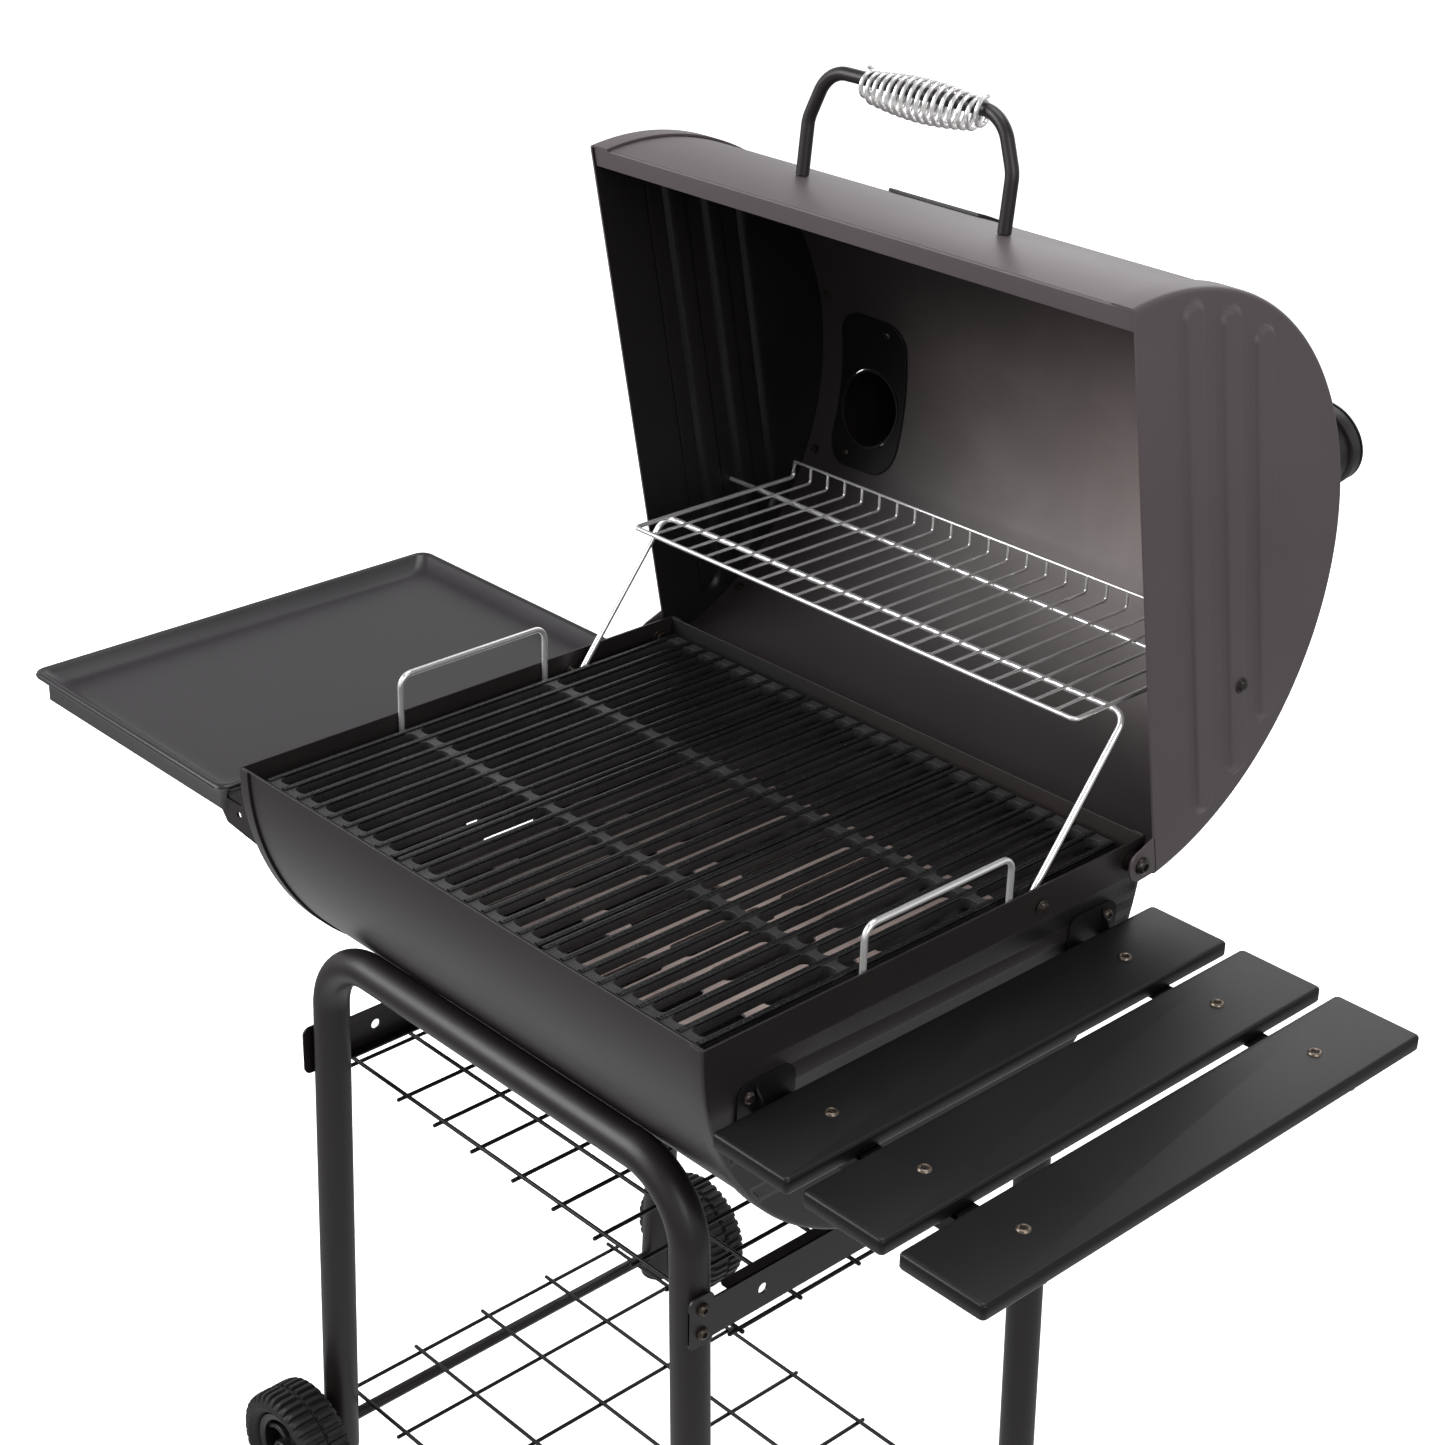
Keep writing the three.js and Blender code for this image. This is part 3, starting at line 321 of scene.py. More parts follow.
@dataclass(frozen=True)
class SmokedSteelWithPaintedLight(Finish):
    """Painted steel dulled by smoke: brown bloom and soft streaks, over a bright middle painted as a pool
    of light that darkens to painted shade towards the edges.
    """

    # Colour of the painted shade and the distances over which it sets in; centre and size, in metres, of
    # the painted pool of light.
    shade_tone: Colour = (0.01, 0.009, 0.009)
    shade_span: tuple[float, float] = (0.6, 1.0)
    middle: tuple[float, float, float] = (0.0, 0.0, 0.0)
    reach: tuple[float, float, float] = (1.0, 1.0, 1.0)

    def shading(self) -> Shading:
        """Distance from the bright middle, scaled by its reach, darkens the tone to the shade tone: a
        painted pool of light in the middle and painted shade towards the edges.

        Returns:
            The shading with every input fed.
        """
        tree = Shading(self.name)
        cloud = tree.noise(9.0, 5.0)
        streak = tree.noise(34.0, 4.0, (0.35, 1.0, 0.35))
        speck = tree.noise(900.0, 2.0)
        scale = tuple(1 / r for r in self.reach)
        start = tuple(-m / r for m, r in zip(self.middle, self.reach))
        where = {"Vector": tree.place, "Scale": scale, "Location": start}
        mapped = tree.node("ShaderNodeMapping", {}, where)
        length = tree.node("ShaderNodeVectorMath", {"operation": "LENGTH"}, {0: mapped.outputs[0]})
        distance = Value(tree, length.outputs["Value"])
        colour = tree.blend(cloud.band(0.32, 0.68), self.tone, self.patch)
        colour = tree.blend(streak.band(0.5, 0.75) * 0.35, colour, self.tone)
        # Painted shade: darker with distance from the painted pool of light.
        painted_shade = (distance + (cloud - 0.5) * 0.16).band(*self.shade_span)
        tree.feed("Base Color", tree.blend(painted_shade, colour, self.shade_tone))
        tree.feed("Roughness", self.roughness + (cloud - 0.5) * 0.16 + (speck - 0.5) * 0.1)
        tree.feed("Metallic", self.metallic)
        tree.bump(speck + cloud * 0.5, 0.08)
        return tree


@dataclass(frozen=True)
class CastIron(Finish):
    """Sand-cast iron: coarse pitted skin with paler rubbed grains."""

    grain: float = 0.35

    def shading(self) -> Shading:
        """Grains bump the skin and the highest grains are rubbed paler.

        Returns:
            The shading with every input fed.
        """
        tree = Shading(self.name)
        grain = tree.noise(420.0, 4.0)
        pit = tree.noise(1100.0, 2.0)
        cloud = tree.noise(16.0, 3.0)
        colour = tree.blend(cloud.band(0.35, 0.7), self.tone, self.patch)
        rubbed = tuple(c * 2.2 + 0.02 for c in self.tone)
        tree.feed("Base Color", tree.blend(grain.band(0.58, 0.75) * 0.5, colour, rubbed))
        tree.feed("Roughness", self.roughness + (grain - 0.5) * 0.25)
        tree.feed("Metallic", self.metallic)
        tree.bump(grain + pit * 0.4, self.grain)
        return tree


@dataclass(frozen=True)
class BrightMetal(Finish):
    """Plated metal: fine draw lines, a little cloudiness and a faint tint in patches."""

    grain: float = 0.01
    fine: float = 700.0

    def shading(self) -> Shading:
        """Cloudiness changes the tint and the gloss.

        Returns:
            The shading with every input fed.
        """
        tree = Shading(self.name)
        cloud = tree.noise(40.0, 3.0)
        fine = tree.noise(self.fine, 2.0)
        tree.feed("Base Color", tree.blend(cloud.band(0.4, 0.7), self.tone, self.patch))
        tree.feed("Roughness", self.roughness + (cloud - 0.5) * 0.12 + (fine - 0.5) * 0.08)
        tree.feed("Metallic", self.metallic)
        tree.bump(fine, self.grain)
        return tree


@dataclass(frozen=True)
class DullMoulding(Finish):
    """Moulded rubber or plastic: matt grain and dust in patches."""

    grain: float = 0.12

    def shading(self) -> Shading:
        """Dust lies in patches over the tone.

        Returns:
            The shading with every input fed.
        """
        tree = Shading(self.name)
        cloud = tree.noise(28.0, 5.0)
        grain = tree.noise(800.0, 3.0)
        tree.feed("Base Color", tree.blend(cloud.band(0.42, 0.7), self.tone, self.patch))
        tree.feed("Roughness", self.roughness + (cloud - 0.5) * 0.2 + (grain - 0.5) * 0.1)
        tree.feed("Metallic", self.metallic)
        tree.bump(grain, self.grain)
        return tree


CHARCOAL = SatinPaint("charcoal_satin", (0.086, 0.071, 0.076), (0.094, 0.078, 0.083), 0.42)
BODY_PAINT = SatinPaint("barrel_satin", (0.0145, 0.0108, 0.0114), (0.0175, 0.0132, 0.0138), 0.4, sheen=0.5)
TUBE_PAINT = SatinPaint("tube_satin", (0.0105, 0.0078, 0.0081), (0.013, 0.0098, 0.0102), 0.4, sheen=0.45)
BLACK = SatinPaint("black_satin", (0.0048, 0.0045, 0.0054), (0.0062, 0.0057, 0.0068), 0.4, sheen=0.3)
TRAY_PAINT = SatinPaint("tray_satin", (0.0195, 0.017, 0.0195), (0.024, 0.0212, 0.024), 0.34, sheen=0.45)
# Inside of the lid: a painted pool of light on its right part, darkening to painted shade towards its
# edges.
LID_INSIDE = SmokedSteelWithPaintedLight(
    "smoked_lid_painted_light", (0.32, 0.266, 0.259), (0.285, 0.236, 0.229), 0.5,
    shade_tone=(0.026, 0.0205, 0.0215), shade_span=(0.05, 0.85), middle=(0.32, 0.4, 1.0), reach=(0.72, 0.42, 0.36),
)
CAP_INSIDE = SmokedSteelWithPaintedLight(
    "smoked_cap", (0.0085, 0.007, 0.007), (0.006, 0.005, 0.005), 0.42, shade_span=(5.0, 9.0),
)
# Inside of the barrel: a lightened tone with a painted pool of light low on the right, darkening to painted
# shade away from it.
BARREL_INSIDE = SmokedSteelWithPaintedLight(
    "smoked_barrel_painted_light", (0.02, 0.0155, 0.014), (0.014, 0.011, 0.01), 0.5,
    shade_tone=(0.006, 0.005, 0.005), shade_span=(0.35, 1.0), middle=(0.28, 0.0, 0.62), reach=(0.5, 0.5, 0.5),
)
# Fire plate: tone lightened far past its own colour as painted light seen through the grates, with a
# painted pool of light on the right that darkens to painted shade towards the edges.
FIRE_PLATE = SmokedSteelWithPaintedLight(
    "fire_plate", (0.75, 0.6, 0.56), (0.64, 0.51, 0.47), 0.5,
    shade_tone=(0.012, 0.01, 0.0095), shade_span=(0.4, 1.15), middle=(0.34, 0.0, 0.69), reach=(0.5, 0.7, 0.5),
)
CAST = CastIron("grate_iron", (0.0085, 0.0083, 0.0092), (0.012, 0.0117, 0.0126), 0.24, 0.2)
# Frame of the grates: the same iron as the bars given a lighter tone, painted light standing in for the
# grey sheen its rails catch.
CAST_RAIL = CastIron("grate_rail_iron", (0.034, 0.033, 0.035), (0.055, 0.053, 0.054), 0.34, 0.3, 0.6)
CHROME = BrightMetal("chrome_plate", (0.95, 0.94, 0.935), (0.88, 0.87, 0.87), 0.2, 0.7)
DARK_STEEL = BrightMetal("dark_steel", (0.05, 0.043, 0.039), (0.09, 0.07, 0.055), 0.36, 0.8, 0.03)
BRASSY = BrightMetal("yellow_zinc", (0.19, 0.155, 0.125), (0.13, 0.105, 0.085), 0.34, 0.9, 0.03)
RUBBER = DullMoulding("dusty_rubber", (0.0065, 0.0053, 0.005), (0.0105, 0.0085, 0.0078), 0.62)
PLASTIC = DullMoulding("wheel_plastic", (0.006, 0.0055, 0.0055), (0.01, 0.009, 0.0085), 0.42, 0.0, 0.05)


# ---------------------------------------------------------------- surfaces


@dataclass
class Skin:
    """A surface in millimetres: points, and faces as arrays with one row of corners each."""

    points: Array
    faces: list[Array]

    def mapped(self, places: Array) -> "Skin":
        """The same faces on other points."""
        return Skin(places, self.faces)

    def moved(self, x: float, y: float, z: float) -> "Skin":
        """The surface carried by a shift."""
        return self.mapped(self.points + np.array([x, y, z]))

    def mirrored(self) -> "Skin":
        """The surface on the other side of the middle plane, faces still outwards."""
        return Skin(self.points * np.array([-1, 1, 1]), [f[:, ::-1] for f in self.faces])

    def swung(self, centre: tuple[float, float], angle: float) -> "Skin":
        """Turn the surface about an axis along X.

        Args:
            centre: the axis in Y and Z.
            angle: turn in radians, from Y towards Z.

        Returns:
            The turned surface.
        """
        y, z = self.points[:, 1] - centre[0], self.points[:, 2] - centre[1]
        c, s = math.cos(angle), math.sin(angle)
        turned = [self.points[:, 0], centre[0] + y * c - z * s, centre[1] + y * s + z * c]
        return self.mapped(np.stack(turned, axis=1))


def together(*skins: Skin) -> Skin:
    """Several surfaces as one.

    Args:
        skins: the surfaces.

    Returns:
        One surface with all their points and faces.
    """
    starts = np.cumsum([0] + [len(s.points) for s in skins[:-1]])
    faces = [f + start for s, start in zip(skins, starts) for f in s.faces]
    return Skin(np.concatenate([s.points for s in skins]), faces)


def net(rows: int, columns: int, wrap: bool = False) -> Array:
    """Four-sided faces of a grid of points.

    Args:
        rows: rows of points.
        columns: points in a row.
        wrap: whether each row closes on itself.

    Returns:
        One row of four corners for each face.
    """
    i = np.arange(rows - 1)[:, None]
    j = np.arange(columns if wrap else columns - 1)[None, :]
    ahead = (j + 1) % columns
    corners = [i * columns + j, i * columns + ahead, (i + 1) * columns + ahead, (i + 1) * columns + j]
    return np.stack(np.broadcast_arrays(*corners), axis=-1).reshape(-1, 4)


def lofted(loops: Array, capped: bool = True) -> Skin:
    """Closed loops of points joined in order.

    Args:
        loops: loops, points and coordinates, in that order of axes.
        capped: whether the first and the last loop are filled.

    Returns:
        The surface.
    """
    count, size = loops.shape[:2]
    faces = [net(count, size, wrap=True)]
    if capped:
        faces += [np.arange(size)[None, ::-1], (np.arange(size) + (count - 1) * size)[None, :]]
    return Skin(loops.reshape(-1, 3), faces)


def circle(radius: float, sides: int) -> Array:
    """Points of a circle about zero."""
    angles = np.arange(sides) * TURN / sides
    return radius * np.stack([np.cos(angles), np.sin(angles)], axis=1)


def arc(centre: tuple[float, float], radius: float, start: float, end: float, steps: int) -> Array:
    """Points of an arc, centre plus radius times the cosine and sine of each angle in degrees."""
    angles = np.radians(np.linspace(start, end, steps + 1))
    return np.array(centre) + radius * np.stack([np.cos(angles), np.sin(angles)], axis=1)


def softened(corners: Sequence[Sequence[float]], radius: float, steps: int = 10) -> Array:
    """A path with each inner corner rounded: the arc that touches both sides of the corner.

    Args:
        corners: the path's corners, in two or three coordinates.
        radius: bend radius.
        steps: flats in each bend.

    Returns:
        The points of the path.
    """
    corners = np.array(corners, float)
    path = [corners[:1]]
    for before, corner, after in zip(corners[:-2], corners[1:-1], corners[2:]):
        back = (before - corner) / np.linalg.norm(before - corner)
        ahead = (after - corner) / np.linalg.norm(after - corner)
        half = math.acos(float(np.clip(back @ ahead, -1, 1))) / 2
        middle = corner + (back + ahead) / np.linalg.norm(back + ahead) * radius / math.sin(half)
        start = corner + back * radius / math.tan(half) - middle
        end = corner + ahead * radius / math.tan(half) - middle
        sweep = math.pi - 2 * half
        reach = np.linspace(0, sweep, steps + 1)[:, None]
        path.append(middle + (start * np.sin(sweep - reach) + end * np.sin(reach)) / math.sin(sweep))
    return np.concatenate([*path, corners[-1:]])


def rounded_loop(x: Sequence[float], y: Sequence[float], radius: float, steps: int = 6) -> Array:
    """A rectangle with round corners, as a closed loop of points.

    Args:
        x: its left and right sides.
        y: its near and far sides.
        radius: corner radius.
        steps: flats in each corner.

    Returns:
        Four arcs of points, anticlockwise.
    """
    places = [(x[1] - radius, y[1] - radius), (x[0] + radius, y[1] - radius),
              (x[0] + radius, y[0] + radius), (x[1] - radius, y[0] + radius)]
    return np.concatenate([arc(p, radius, 90 * q, 90 * q + 90, steps) for q, p in enumerate(places)])


def carried(path: Array, section: Array, side: Sequence[float], capped: bool = True) -> Skin:
    """A closed section carried along a path.

    At each station the section's first axis is the side direction with its share along the
    path taken off, and its second axis is the cross product of the path and the first.

    Args:
        path: stations.
        section: loop of points in the section's plane.
        side: steady direction, never along the path.
        capped: whether the ends are filled.

    Returns:
        The surface.
    """
    path = np.asarray(path, float)
    ahead = np.gradient(path, axis=0)
    steps = np.diff(path, axis=0)
    steps /= np.linalg.norm(steps, axis=1, keepdims=True)
    ahead[1:-1] = steps[:-1] + steps[1:]
    ahead[0], ahead[-1] = steps[0], steps[-1]
    ahead /= np.linalg.norm(ahead, axis=1, keepdims=True)
    first = np.asarray(side, float) - ahead * (ahead @ np.asarray(side, float))[:, None]
    first /= np.linalg.norm(first, axis=1, keepdims=True)
    second = np.cross(ahead, first)
    offsets = section[None, :, 0, None] * first[:, None] + section[None, :, 1, None] * second[:, None]
    return lofted(path[:, None] + offsets, capped)


def wire(path: Array, radius: float, side: Sequence[float], sides: int = 12) -> Skin:
    """A round rod along a path."""
    return carried(path, circle(radius, sides), side)


def straight(start: Sequence[float], end: Sequence[float], radius: float, sides: int = 10) -> Skin:
    """A straight rod with softly rounded ends: the radius falls away over its last millimetre.

    Args:
        start: one end.
        end: the other end.
        radius: rod radius.
        sides: flats round it.

    Returns:
        The surface.
    """
    start, end = np.array(start, float), np.array(end, float)
    length = np.linalg.norm(end - start)
    soft = min(radius * 0.6, length / 4)
    along = np.array([0, soft * 0.35, soft, length - soft, length - soft * 0.35, length])
    scale = np.array([0.45, 0.85, 1, 1, 0.85, 0.45])
    ahead = (end - start) / length
    side = np.array([0.0, 0.0, 1.0]) if abs(ahead[2]) < 0.8 else np.array([1.0, 0.0, 0.0])
    first = np.cross(side, ahead) / np.linalg.norm(np.cross(side, ahead))
    second = np.cross(ahead, first)
    ring = circle(radius, sides)
    spread = ring[:, :1] * first + ring[:, 1:] * second
    return lofted(start + along[:, None, None] * ahead + scale[:, None, None] * spread)


def upright(outline: Array, depth: float, axis: Axis) -> Array:
    """A flat outline placed at one depth along an axis.

    Args:
        outline: points in the plane.
        depth: place of the plane along the axis.
        axis: direction across the plane.

    Returns:
        The points in space.
    """
    places = np.zeros((len(outline), 3))
    a, b, along = axis.value
    places[:, a], places[:, b], places[:, along] = outline[:, 0], outline[:, 1], depth
    return places


def prism(outline: Array, span: Sequence[float], axis: Axis) -> Skin:
    """A closed outline carried straight along an axis, with its ends filled."""
    return lofted(np.stack([upright(outline, depth, axis) for depth in span]))


def plate(outline: Array, holes: Sequence[Array], span: Sequence[float], axis: Axis) -> Skin:
    """A flat plate with holes: both faces are cut into triangles, and every edge gets a wall.

    Args:
        outline: outer loop.
        holes: inner loops.
        span: lower and upper face along the axis.
        axis: direction through the plate.

    Returns:
        The closed surface.
    """
    loops = [np.asarray(outline, float), *[np.asarray(h, float) for h in holes]]
    flat = np.concatenate(loops)
    triangles = np.array(tessellate_polygon([[Vector((*p, 0)) for p in loop] for loop in loops]))
    size = len(flat)
    faces = [triangles, triangles[:, ::-1] + size]
    starts = np.cumsum([0] + [len(loop) for loop in loops])
    for start, end in zip(starts[:-1], starts[1:]):
        ring = np.arange(start, end)
        ahead = np.roll(ring, -1)
        faces.append(np.stack([ring, ahead, ahead + size, ring + size], axis=1))
    return Skin(np.concatenate([upright(flat, depth, axis) for depth in span]), faces)


def lathed(profile: Sequence[Sequence[float]], sides: int, axis: Axis, at: Sequence[float]) -> Skin:
    """A profile of radius and height turned about an axis.

    The point at angle a is the radius times cosine and sine of a, and the height along the axis.

    Args:
        profile: radius and height of each point; a radius of 0 closes the pole.
        sides: flats round the axis.
        axis: direction of the axis.
        at: foot of the axis.

    Returns:
        The surface.
    """
    profile = np.array(profile, float)
    ring = circle(1.0, sides)
    a, b, along = axis.value
    loops = np.zeros((len(profile), sides, 3))
    loops[..., a] = profile[:, :1] * ring[None, :, 0]
    loops[..., b] = profile[:, :1] * ring[None, :, 1]
    loops[..., along] = profile[:, 1:]
    closes = bool(np.allclose(profile[0], profile[-1]))
    open_ends = profile[0, 0] > 0 and not closes
    return lofted(loops + np.array(at, float), capped=open_ends)


def fanned(profile: Array, centre: tuple[float, float], start: float, end: float, steps: int) -> Skin:
    """A closed profile of radius and X carried round part of a turn about an axis along X.

    Args:
        profile: radius and X of each point.
        centre: the axis in Y and Z.
        start: first angle in degrees, from Y towards Z.
        end: last angle.
        steps: flats of the sweep.

    Returns:
        The surface with its two ends filled.
    """
    angles = np.radians(np.linspace(start, end, steps + 1))[:, None]
    radius, x = profile[None, :, 0], profile[None, :, 1]
    loops = [np.broadcast_to(x, (steps + 1, len(profile))),
             centre[0] + radius * np.cos(angles), centre[1] + radius * np.sin(angles)]
    return lofted(np.stack(loops, axis=-1))


# ---------------------------------------------------------------- pieces


@dataclass(frozen=True)
class Make:
    """How a surface becomes a piece."""

    body: Body
    slot: Slot
    coats: tuple[Finish, ...]
    replaces: tuple[str, ...] = ()
    wall: float = 0.0
    edge: float = 0.0
    crease: float = 32.0
    edge_steps: int = 2


def mesh_of(name: str, skin: Skin) -> bpy.types.Mesh:
    """A mesh in the frame, in metres, with shared points merged and its faces outwards.

    Args:
        name: the mesh's name.
        skin: the surface in millimetres.

    Returns:
        The mesh.
    """
    mesh = bpy.data.meshes.new(name)
    sizes = np.concatenate([np.full(len(f), f.shape[1]) for f in skin.faces])
    corners = np.concatenate([np.asarray(f).ravel() for f in skin.faces])
    mesh.vertices.add(len(skin.points))
    mesh.vertices.foreach_set("co", (ORIGIN + skin.points * MM).astype(np.float32).ravel())
    mesh.loops.add(len(corners))
    mesh.loops.foreach_set("vertex_index", corners.astype(np.int32))
    mesh.polygons.add(len(sizes))
    mesh.polygons.foreach_set("loop_start", (np.cumsum(sizes) - sizes).astype(np.int32))
    mesh.update(calc_edges=True)
    work = bmesh.new()
    work.from_mesh(mesh)
    bmesh.ops.remove_doubles(work, verts=work.verts, dist=WELD)
    bmesh.ops.dissolve_degenerate(work, edges=work.edges, dist=WELD)
    bmesh.ops.recalc_face_normals(work, faces=work.faces)
    work.to_mesh(mesh)
    work.free()
    return mesh


def piece(name: str, skin: Skin, make: Make) -> bpy.types.Object:
    """Build one piece, finish its edges and hand it to its body.

    Args:
        name: the piece's name.
        skin: its surface.
        make: its body, finishes and edge work.

    Returns:
        The object.
    """
    mesh = mesh_of(name, skin)
    for coat in make.coats:
        mesh.materials.append(coat.material())
    mesh.polygons.foreach_set("use_smooth", [True] * len(mesh.polygons))
    mesh.set_sharp_from_angle(angle=math.radians(make.crease))
    thing = bpy.data.objects.new(name, mesh)
    bpy.context.scene.collection.objects.link(thing)
    if make.wall:
        wall = thing.modifiers.new("wall", "SOLIDIFY")
        wall.thickness = make.wall * MM
        wall.offset = -1
        wall.material_offset = len(make.coats) - 1
    if make.edge:
        edge = thing.modifiers.new("edge", "BEVEL")
        edge.width = make.edge * MM
        edge.segments = make.edge_steps
        edge.limit_method = "ANGLE"
        edge.angle_limit = math.radians(40)
        edge.harden_normals = True
    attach(thing, make.body.value)
    if make.replaces:
        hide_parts(*make.replaces)
    log.info("%s: %d faces on %s", name, len(mesh.polygons), make.body.value)
    return thing


@dataclass
class BoltWork:
    """Shapes of the bolts, nuts and pins."""

    sides: int = 24

    def domed(self, radius: float, height: float, at: Sequence[float], axis: Axis, way: int = 1) -> Skin:
        """A round head with a driver recess, turned about its axis.

        Args:
            radius: head radius.
            height: how proud the head stands.
            at: middle of its seat.
            axis: direction it faces.
            way: 1 to face along the axis, -1 against it.

        Returns:
            The surface.
        """
        share = [(0, 0.45), (0.36, 0.45), (0.42, 0.95), (0.55, 1.0), (0.75, 0.86), (0.93, 0.5),
                 (1.0, 0.15), (1.0, 0.0), (0.9, -0.3), (0, -0.3)]
        profile = [(r * radius, way * h * height) for r, h in share]
        return lathed(profile, self.sides, axis, at)

    def hexed(self, radius: float, height: float, at: Sequence[float], axis: Axis, way: int = 1) -> Skin:
        """A six-sided nut on a washer, with a threaded end standing out of it.

        Args:
            radius: distance to the nut's corners.
            height: nut height.
            at: middle of its seat.
            axis: direction it faces.
            way: 1 to face along the axis, -1 against it.

        Returns:
            The surface.
        """
        washer = lathed([(0, 0), (radius * 1.15, 0), (radius * 1.2, way * 0.5), (radius * 1.15, way),
                         (0, way)], self.sides, axis, at)
        nut = lathed([(0, way), (radius * 0.94, way), (radius, way * 1.5), (radius, way * (height - 0.6)),
                      (radius * 0.92, way * height), (0, way * height)], 6, axis, at)
        turns = np.linspace(0, 1, 13)
        thread = radius * (0.44 + 0.04 * np.cos(turns * 6 * TURN))
        shank = np.stack([thread, way * (height - 0.5 + turns * height * 0.55)], axis=1)
        profile = np.concatenate([[(0, way * (height - 0.5))], shank, [(0, way * height * 1.6)]])
        return together(washer, nut, lathed(profile, 16, axis, at))

    def pressed(self, radius: float, height: float, at: Sequence[float], way: int) -> Skin:
        """A push nut on a wire end along X: a dished cup with a rolled brim.

        Args:
            radius: brim radius.
            height: how proud the cup stands.
            at: middle of its seat.
            way: 1 to face along X, -1 against it.

        Returns:
            The surface.
        """
        share = [(0, 1.0), (0.45, 0.98), (0.66, 0.8), (0.74, 0.4), (0.95, 0.32), (1.0, 0.15),
                 (0.95, 0.0), (0, 0.0)]
        return lathed([(r * radius, way * h * height) for r, h in share], self.sides, Axis.X, at)


BOLTS = BoltWork()


@dataclass
class Barrel:
    """Half-drum fire barrel with its grates, lifting loops and side damper."""

    radius: float = 260.0
    half_length: float = 304.5
    sheet: float = 2.0
    flange: float = 14.0
    shell_radius: float = 257.7
    shell_reach: float = 302.2
    steps: int = 96
    bend: float = 3.0
    ledge_reach: float = 290.0
    pitch: float = 191.1
    grate_width: float = 188.3
    bars: int = 9
    bar_width: float = 5.5
    rail_width: float = 9.0
    rails: tuple[float, ...] = (-239.5, -84.0, 80.0, 239.5)
    grate_top: float = -8.5
    grate_bottom: float = -20.0
    plate_reach: float = 295.6
    plate_width: float = 226.0
    plate_faces: tuple[float, float] = (-112.0, -109.0)
    slot_columns: int = 11
    slot_half: float = 13.0
    slot_rows: tuple[tuple[float, float], ...] = ((-202, -79), (-55, 55), (79, 202))
    loop_x: float = 299.0
    loop_y: tuple[float, float] = (-84.0, 88.0)
    loop_z: tuple[float, float] = (-108.7, 38.0)
    loop_wire: float = 2.9
    damper_pivot: tuple[float, float] = (-18.0, -100.0)
    damper_gap: float = 0.3
    vents: tuple[tuple[tuple[float, float], ...], ...] = (
        ((-8, -112), (8, -112), (8, -160), (78, -160), (78, -182), (20, -182), (8, -165), (-8, -165)),
        ((-48, -177), (2, -177), (13, -197), (-38, -197)),
    )

    def build(self) -> None:
        """Make every piece of the barrel."""
        self.drum()
        self.ends()
        self.ledges()
        self.cooking_grates()
        self.fire_grate()
        self.damper()

    def drum(self) -> None:
        """Rolled half drum: shell radius times cosine and sine of the angle, carried along X."""
        angles = np.radians(np.linspace(180, 360, self.steps + 1))
        rows = [np.stack([np.full_like(angles, x), self.shell_radius * np.cos(angles),
                          self.shell_radius * np.sin(angles)], axis=1)
                for x in np.linspace(-self.shell_reach, self.shell_reach, 5)]
        skin = Skin(np.concatenate(rows), [net(5, self.steps + 1)])
        coats = (BODY_PAINT, BARREL_INSIDE)
        make = Make(Body.ROOT, Slot.CHARCOAL, coats, ("barrel_shell",), self.sheet, 0.5)
        piece("barrel_drum", skin, make)

    def end_skin(self, holes: Sequence[Array]) -> Skin:
        """Right end wall: a flat half disc whose rim bends over the shell.

        Args:
            holes: loops cut through the flat wall.

        Returns:
            The surface.
        """
        inner, outer = self.half_length - self.sheet, self.half_length
        flat = self.radius - 6
        wall = plate(arc((0, 0), flat, 180, 360, self.steps), holes, (inner, outer), Axis.X)
        turn = arc((self.radius - self.bend, outer - self.bend), self.bend, 90, 0, 5)
        back = arc((self.radius - self.bend, outer - self.bend), self.bend - self.sheet, 0, 90, 3)
        start = outer - self.flange
        hem = [(self.radius, start), (self.radius - self.sheet, start)]
        profile = np.concatenate([[(flat, outer)], turn, hem, back, [(flat, inner)]])
        return together(wall, fanned(profile, (0, 0), 180, 360, self.steps))

    def ends(self) -> None:
        """Left wall with its air openings, and the plain right wall."""
        for side, name, vents in ((-1, "left", self.vents), (1, "right", ())):
            skin = self.end_skin([softened_loop(v, 2.5) for v in vents])
            skin = skin if side > 0 else skin.mirrored()
            make = Make(Body.ROOT, Slot.CHARCOAL, (BODY_PAINT,), (f"barrel_end_{name}",), edge=0.5)
            piece(f"end_wall_{name}", skin, make)

    def ledges(self) -> None:
        """Angle strips that carry the grates."""
        top = self.grate_bottom - 0.3
        for side, name in ((-1, "front"), (1, "rear")):
            angle = np.array([(231, top), (251, top), (251, top - 25), (249, top - 25), (249, top - 2),
                              (231, top - 2)]) * np.array([side, 1])
            skin = prism(angle, (-self.ledge_reach, self.ledge_reach), Axis.X)
            make = Make(Body.ROOT, Slot.BLACK, (BLACK,), (f"grate_ledge_{name}",), edge=0.5)
            piece(f"ledge_{name}", skin, make)

    def grate_body(self, middle: float) -> Skin:
        """Cast frame of one grate: a plate with round-ended slots between the bars.

        Args:
            middle: place of the grate's middle along X.

        Returns:
            The surface.
        """
        reach = (self.grate_width - self.bar_width) / 2
        lines = np.linspace(middle - reach, middle + reach, self.bars)
        half, rail = self.bar_width / 2, self.rail_width / 2
        slots = [rounded_loop((a + half, b - half), (c + rail, d - rail), 6.5, 5)
                 for a, b in zip(lines[:-1], lines[1:])
                 for c, d in zip(self.rails[:-1], self.rails[1:])]
        sides = (middle - self.grate_width / 2, middle + self.grate_width / 2)
        frame_loop = rounded_loop(sides, (self.rails[0] - rail, self.rails[-1] + rail), 2.0, 3)
        return plate(frame_loop, slots, (self.grate_bottom, self.grate_top - 1.9), Axis.Z)

